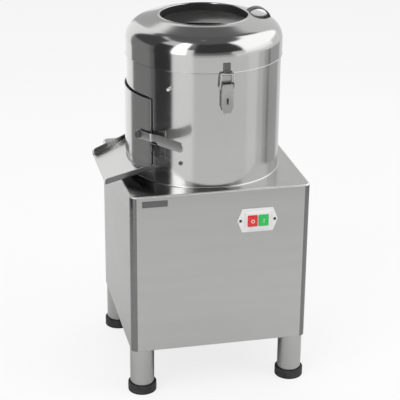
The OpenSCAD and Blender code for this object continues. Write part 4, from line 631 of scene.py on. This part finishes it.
# Corner faces get the dark steel, painted shade and reflection.
on_corner = (np.abs(x) > CABINET[0] / 2 - CABINET[2]) & (np.abs(y) > CABINET[1] / 2 - CABINET[2])
finish_faces(cabinet, np.where(on_deck, 2, np.where(on_bend, 1, 3 * on_corner)), bend_highlight_steel, deck_steel, corner_shade_steel)

# %% [markdown]
# ## Drum, door and weld
# The drum is a rolled tube of mirror-like sheet, brushed round its girth, which draws every reflection into upright
# bands. The outlet is left out of the grid, as above. The door is a second, slightly larger piece of the same roll.
# A small bright fillet weld runs round the drum's foot.

# %% Drum, door panel and weld
window_edges = np.radians([180 - OUTLET[0], 180 + OUTLET[0]])
drum_angles = np.unique(np.concatenate([around(), window_edges]).round(9))
heights = np.unique(np.concatenate([np.linspace(Z_DECK, Z_RIM, 12), [Z_DECK + NARROW, Z_RIM - NARROW],
                                    OUTLET[1:]]))
drum_skin = spin(drum_angles, [[DRUM_R, z] for z in heights])


def off_the_outlet(x, y, z):
    """Cells of the drum that aren't in the outlet."""
    turn = np.degrees(np.arctan2(y, -x))
    return ~((np.abs(turn) < OUTLET[0]) & (z > OUTLET[1]) & (z < OUTLET[2]))


piece("drum_sheet", [drum_skin], drum_steel, "frame", ("drum_shell",), off_the_outlet,
      solid=False, wall=SHEET)

door_angles = np.radians(np.linspace(180 - DOOR_HALF, 180 + DOOR_HALF, 61))
door_rows = np.linspace(Z_DOOR, Z_DOOR + DOOR_H, 5)
piece("door_sheet", [spin(door_angles, [[DOOR_R, z] for z in door_rows])], drum_steel, "door",
      ("door_panel",), solid=False, wall=SHEET, edge=0.3)

WELD_R, WELD_IN = 2.6, 0.4          # radius of the hollow fillet, and how far its foot sinks into drum and deck
foot = [DRUM_R - WELD_IN, Z_DECK - WELD_IN]
fillet = [foot, *bend((DRUM_R + WELD_R, Z_DECK + WELD_R), WELD_R, 270, 180, 5), foot]
piece("drum_weld", [spin(around(), fillet)], bright_steel, "frame")

# %% [markdown]
# ## Lid
# The lid is spun from sheet on a lathe, so its brush lines run round it and its section is one flowing line: skirt,
# shoulder, cone, rolled bead and the collar inside the mouth. It is one closed turned surface. The skirt's edge has a
# small hem, which draws the fine line where lid and drum meet, and the inside is left dull from the lathe. The collar
# inside the mouth is painted near black, a painted shade.

# %% Lid
shoulder_at, steep = LID_R - SHOULDER_R, 90 - LID_SLOPE
cone_r = shoulder_at + SHOULDER_R * math.cos(math.radians(steep))
z_cone = Z_SHOULDER + SHOULDER_R * math.sin(math.radians(steep))
fall = math.tan(math.radians(LID_SLOPE))
z_lip = z_cone + (cone_r - MOUTH_R - LIP_W) * fall
lip_end = [MOUTH_R + LIP_W, z_lip]
HEM = 0.6                           # how far the hem stands out, and half its height
SKIRT_ROWS = (12, 24)               # more rows up the skirt, so that its shading stays even
BEAD_R, BEAD_UP, BEAD_FROM = LIP_W / 2, 1.25, 38    # radius, rise above the cone, and where it leaves the cone
COLLAR_JOIN = 2.4                   # how far under the lip the collar meets the lid's inside


def lid_side(inset):
    """The lid's section from the skirt's edge up to the lip, moved inwards by inset."""
    hem = [] if inset else [[LID_R + HEM, Z_SKIRT], [LID_R + HEM, Z_SKIRT + HEM]]
    up = (0 if inset else 2 * HEM, *SKIRT_ROWS)
    start = hem + [[LID_R - inset, Z_SKIRT + z] for z in up]
    top = lip_end[1] - inset / math.cos(math.radians(LID_SLOPE))
    cone = [[r, top - (r - lip_end[0]) * fall] for r in np.linspace(cone_r - 12, lip_end[0], 4)]
    return start + bend((shoulder_at, Z_SHOULDER), SHOULDER_R - inset, 0, steep, 24) + cone


lip = bend((MOUTH_R + BEAD_R, z_lip - BEAD_R + BEAD_UP), BEAD_R, BEAD_FROM, 180, 14)
collar = [[MOUTH_R, z_lip - COLLAR_H], [MOUTH_R + LID_T, z_lip - COLLAR_H], [MOUTH_R + LID_T, z_lip - COLLAR_JOIN]]
lid_section = lid_side(0) + lip + collar + lid_side(LID_T)[::-1]
lid = piece("lid_sheet", [spin(around(256), lid_section + lid_section[:1])], lid_steel, "lid",
            ("lid_shell",))
x, y, z = of_faces(lid, "center")
out_x, out_y, out_z = of_faces(lid, "normal")
inside = ((out_x * x + out_y * y < -1e-4) | (out_z < -0.2)) & (z < (z_lip - 1) * MM)
in_collar = inside & (np.hypot(x, y) < (MOUTH_R + 2 * LID_T) * MM)
# The collar's faces get the near-black steel, a painted shade.
finish_faces(lid, np.where(in_collar, 2, inside), inner_steel, collar_shade_steel)
print("lip at", round(z_lip, 1), "mm")

# %% [markdown]
# ## Handle, lever and chute
# Three folded or bent pieces of flat bar and sheet. The handle is a strap bent in an arch: a small rounded section
# carried along an arc. The lever is flat bar with a rounded eye, a step that clears its catch, and a wider grip. The
# chute is sheet with both sides turned up, cut to the drum's round wall.

# %% A strap along a path


def rounded_box(half_width, low, high, radius=0.8, steps=3):
    """A closed rectangle with rounded corners, as [across, height] points."""
    corners = [(half_width - radius, high - radius, 0), (-half_width + radius, high - radius, 90),
               (-half_width + radius, low + radius, 180), (half_width - radius, low + radius, 270)]
    ring = [p for cx, cz, start in corners for p in bend((cx, cz), radius, start, start + 90, steps)]
    return np.array(ring + ring[:1])


HANDLE_AT, HANDLE_Z, HANDLE_R, HANDLE_T, HANDLE_W, HANDLE_TURN = 126.5, 838.47, 33.5, 2.6, 22.0, 3.0
arch = np.radians(np.linspace(17.0, 131.6, 49))     # where the arch meets the lid on either side
section = rounded_box(HANDLE_W / 2, HANDLE_R - HANDLE_T, HANDLE_R)
away = HANDLE_AT + np.outer(np.cos(arch), section[:, 1])
height = HANDLE_Z + np.outer(np.sin(arch), section[:, 1])
sideways = np.broadcast_to(section[:, 0], away.shape)
turn = math.radians(HANDLE_TURN)
strap = np.stack([away * math.cos(turn) - sideways * math.sin(turn),
                  away * math.sin(turn) + sideways * math.cos(turn), height], axis=-1)


def capped(grid):
    """A grid closed at both ends: a row at each end's middle is added, where the surface comes to a point."""
    first, last = grid[:1].mean(axis=1, keepdims=True), grid[-1:].mean(axis=1, keepdims=True)
    shape = (1, grid.shape[1], 3)
    return np.concatenate([np.broadcast_to(first, shape), grid, np.broadcast_to(last, shape)])


# The strap's steel is painted near black, a painted shade.
piece("handle_strap", [capped(strap)], strap_shade_steel, "lid", ("lid_handle",))

# %% Door lever
EYE_R, SHANK, GRIP, LEVER_T, STEP, STEP_FROM, STEP_TO, LEVER_L = 11.5, 9.5, 12.0, 3.0, 2.5, 42.0, 66.0, 158.0
ends = 1 - np.cos(np.linspace(0, math.pi / 2, 12))
parts = [-EYE_R + EYE_R * ends, np.linspace(0, STEP_FROM - 1, 8), np.linspace(STEP_FROM - 1, STEP_FROM + 2, 5),
         np.linspace(STEP_TO - 2, STEP_TO + 4, 9), np.linspace(STEP_TO + 4, LEVER_L - GRIP, 8), LEVER_L - GRIP * ends]
run = np.unique(np.concatenate(parts).round(6))
eye = np.sqrt(np.clip(EYE_R ** 2 - run ** 2, 0, None))
tip = np.sqrt(np.clip(GRIP ** 2 - np.clip(run - LEVER_L + GRIP, 0, None) ** 2, 0, None))
wider = SHANK + (GRIP - SHANK) * np.clip((run - STEP_TO + 1) / 4, 0, 1)
half = np.where(run < math.sqrt(EYE_R ** 2 - SHANK ** 2), eye, np.minimum(wider, tip))
dip = -STEP * (np.clip((run - STEP_FROM + 1) / 3, 0, 1) - np.clip((run - STEP_TO + 2) / 3, 0, 1))
half = np.maximum(half, 0.02)
bar = np.array([rounded_box(h, d, d + LEVER_T, min(0.7, h)) for h, d in zip(half, dip)])


def on_wall(angle, radius, height, tilt, along, up, out):
    """Points given along a wall, up it and out of it, carried to a place on the drum and tilted in its plane."""
    a, t = math.radians(angle), math.radians(tilt)
    s, u = along * math.cos(t) - up * math.sin(t), along * math.sin(t) + up * math.cos(t)
    r = radius + out
    return np.stack([r * math.cos(a) - s * math.sin(a), r * math.sin(a) + s * math.cos(a), height + u], axis=-1)


length = np.broadcast_to(run[:, None], bar.shape[:2])
lever_grid = on_wall(LEVER_ANGLE, LEVER_R, LEVER_Z, LEVER_TILT, length, bar[..., 0], bar[..., 1])
piece("lever_bar", [capped(lever_grid)], lever_steel, "lever", ("door_lever",))

# %% Chute
slope = math.radians(CHUTE_SLOPE)
BEND_R, CORNER_R = 2.5, 5.0         # where a side turns up, and the rounding of its outer end
LEAN = 0.9                          # how far a leaning side may stand out past the chute's mouth
FLAT_POINTS, BEND_POINTS, ROWS = 8, 5, 25
quarter = np.linspace(0, math.pi / 2, BEND_POINTS)
side_up = np.concatenate([np.linspace(1, 0.25, FLAT_POINTS), (1 - np.sin(quarter)) * BEND_R / CHUTE_SIDE])
side_in = np.concatenate([np.zeros(FLAT_POINTS), BEND_R * (1 - np.cos(quarter))])
fractions = np.linspace(1, -1, 13)[1:-1]
up_share = np.concatenate([side_up, np.zeros(len(fractions)), side_up[::-1]])
inward = np.concatenate([side_in, np.zeros(len(fractions)), side_in[::-1]])
share = np.concatenate([np.ones(len(side_up)), fractions, -np.ones(len(side_up))])
steps = np.linspace(0, 1, ROWS)[:, None]
along = np.broadcast_to(90.0, (ROWS, len(share)))
for _ in range(12):                 # each row's length depends on its own width, so it settles by repetition
    rise = up_share * np.minimum(CHUTE_SIDE, (CHUTE_TOP - CHUTE_Z - along * math.sin(slope)) / math.cos(slope))
    start = np.maximum(0, (rise[:1] * math.sin(slope) - LEAN) / math.cos(slope))
    start = start + CORNER_R * (1 - np.sqrt(1 - np.clip((rise[:1] - CHUTE_SIDE) / CORNER_R + 1, 0, 1) ** 2))
    wide = share * (CHUTE_HALF + CHUTE_SPREAD * along - inward)
    to_drum = (-CHUTE_X + rise * math.sin(slope) - np.sqrt(DRUM_R ** 2 - wide[-1:] ** 2)) / math.cos(slope)
    along = start + steps * (to_drum[-1:] - start)
chute_grid = np.stack([CHUTE_X + along * math.cos(slope) - rise * math.sin(slope), wide,
                       CHUTE_Z + along * math.sin(slope) + rise * math.cos(slope)], axis=-1)
chute = piece("chute_sheet", [chute_grid], chute_steel, "frame", ("discharge_chute",), solid=False,
              wall=SHEET, crease=50)
# The chute's outside gets the dark steel, a painted shade.
finish_faces(chute, np.ones(len(chute.data.polygons)), dull_and_shade_steel)      # the grid is the chute's shaded outside
thick = chute.modifiers["thickness"]
thick.material_offset = thick.material_offset_rim = -1
print("chute meets the drum", round(float(to_drum.mean()), 1), "mm from its mouth")

# %% [markdown]
# ## Legs and feet
# Each leg is a piece of polished tube in a moulded rubber foot. Both are turned shapes, repeated at four corners.

# %% Legs and feet
corners = [(x, y) for x in (-LEG[0], LEG[0]) for y in (-LEG[1], LEG[1])]
DRAIN_R, BOLT_R, BORE_R = 5.25, 4.05, 26.5         # hole in the lower plug, hole in the upper plug, inside of the tube
FOOT_FLOOR, PLUG = 7.0, 6.0                         # where the tube stands in its foot, and each plug's thickness
tube = [[DRAIN_R, FOOT_FLOOR], [LEG[2], FOOT_FLOOR], [LEG[2], 60], [LEG[2], Z_CABINET], [BOLT_R, Z_CABINET],
        [BOLT_R, Z_CABINET - PLUG], [BORE_R, Z_CABINET - PLUG], [BORE_R, FOOT_FLOOR + PLUG],
        [DRAIN_R, FOOT_FLOOR + PLUG], [DRAIN_R, FOOT_FLOOR]]
SOCKET_R, LOWER_ROUND, UPPER_ROUND = 28.55, 1.6, 1.8
cup = [[DRAIN_R, 0], [FOOT_R - LOWER_ROUND, 0], *bend((FOOT_R - LOWER_ROUND, LOWER_ROUND), LOWER_ROUND, 270, 360, 4),
       *bend((FOOT_R - UPPER_ROUND, FOOT_H - UPPER_ROUND), UPPER_ROUND, 0, 90, 5), [SOCKET_R + 0.65, FOOT_H],
       [SOCKET_R, FOOT_H - 0.7], [SOCKET_R, FOOT_FLOOR], [DRAIN_R, FOOT_FLOOR], [DRAIN_R, 0]]
piece("leg_tubes", [spin(around(72), tube, p) for p in corners], leg_steel, "frame", ("legs",))
piece("foot_cups", [spin(around(72), cup, p) for p in corners], rubber, "frame", ("feet",))

# %% [markdown]
# ## Buttons
# The switch is a standard push-button pair: red to stop, green to start. Each button is moulded with rounded corners
# and a slightly domed face, and carries a plain white mark, a ring for stop and a bar for start. The marks are thin
# raised paint on the buttons, so they move with them.

# %% Buttons and their marks


def at_front(x, points, out):
    """Points [across, up] on the front wall round a middle at x, standing out of it."""
    out = np.broadcast_to(np.asarray(out, float), points.shape[:-1])
    return np.stack([SWITCH[0] + x + points[..., 0], SWITCH[1] - out, SWITCH[2] + points[..., 1]], axis=-1)


def button(name, x, finish, body, cad_node):
    """A rounded cap with a domed face: height = BUTTON_OUT minus DOME times the square of the share of the way out."""
    outline = rounded_box(BUTTON[0] / 2, -BUTTON[1] / 2, BUTTON[1] / 2, 2.2, 6)
    face = BUTTON_OUT - DOME
    shares = [1, 1, 1, 0.985, 0.955, 0.9, 0.75, 0.5, 0.25, 0.0]
    outs = [0.6, 4.0, face - 1.3, face - 0.55, face - 0.1] + [BUTTON_OUT - DOME * s ** 2 for s in shares[5:]]
    rows = [at_front(x, outline * share, out) for share, out in zip([0.0] + shares, [0.6] + outs)]
    return piece(name, [np.stack(rows, axis=1)], finish, body, (cad_node,))


def mark(name, x, outer, inner, body):
    """A thin raised mark between two outlines on a button's face."""
    low, high = BUTTON_OUT - 0.6, BUTTON_OUT - 0.02
    section = ((outer, low), (outer, high), (inner, high), (inner, low), (outer, low))
    rows = [at_front(x, ring, out) for ring, out in section]
    return piece(name, [np.stack(rows, axis=1)], mark_paint, body)


circle = np.array(bend((0, 0), 1.0, 0, 360, 40))
bar_outline = rounded_box(0.85, -4.6, 4.6, 0.5, 6)
button("stop_cap", -BUTTON[2], red_plastic, "stop", "stop_button")
button("start_cap", BUTTON[2], green_plastic, "start", "start_button")
mark("stop_mark", -BUTTON[2], circle * 4.4, circle * 3.0, "stop")
mark("start_mark", BUTTON[2], bar_outline, bar_outline * 0.02, "start")

# %% [markdown]
# ## Small parts
# Hinges, catch, latch, screws and panels have the right shape in the CAD part already. Each one is copied, its points
# are merged, and its edges are rounded a little, because a true edge always catches a thin line of light.

# %% Fine copies of the small CAD parts
# The lever bolt, door catch and latch keeper take the dark steel as painted shade.
fine = (
    ("service_panel", object_steel, "frame", 0.3), ("frame_fasteners", dull_and_shade_steel, "frame", 0.2),
    ("drum_hinge_leaves", object_steel, "frame", 0.3), ("door_hinge_leaves", object_steel, "door", 0.3),
    ("hinge_pins", bright_steel, "frame", 0.3), ("lever_bolt", dull_and_shade_steel, "door", 0.4),
    ("door_catch", dull_and_shade_steel, "frame", 0.4),
    # The liner studs' near-white caps are a painted highlight.
    ("liner_studs", cap_highlight_steel, "frame", 0.2), ("lid_hinge_leaf", object_steel, "lid", 0.3),
    ("drum_lid_hinge", object_steel, "frame", 0.3),
    ("latch_keeper", dull_and_shade_steel, "lid", 0.3), ("latch_base", object_steel, "frame", 0.25),
    ("latch_lever", latch_steel, "latch", 0.3), ("latch_bail", bright_steel, "bail", 0.0),
    ("switch_plate", white_plastic, "frame", 0.8), ("blank_badge", badge_metal, "frame", 0.15),
    ("inlets", object_steel, "frame", 0.3), ("drain_pipe", object_steel, "frame", 0.4),
    ("disc_grit", grit, "spindle", 0.8), ("disc_nut", bright_steel, "spindle", 0.5),
    ("peeling_disc", cast_light, "spindle", 0.6), ("door_seal", rubber, "door", 0.4),
    ("lid_gasket", rubber, "lid", 0.6), ("base_frame", enamel, "frame", 0.4),
)
for name, finish, body, edge in fine:
    from_node(name, finish, body, edge)
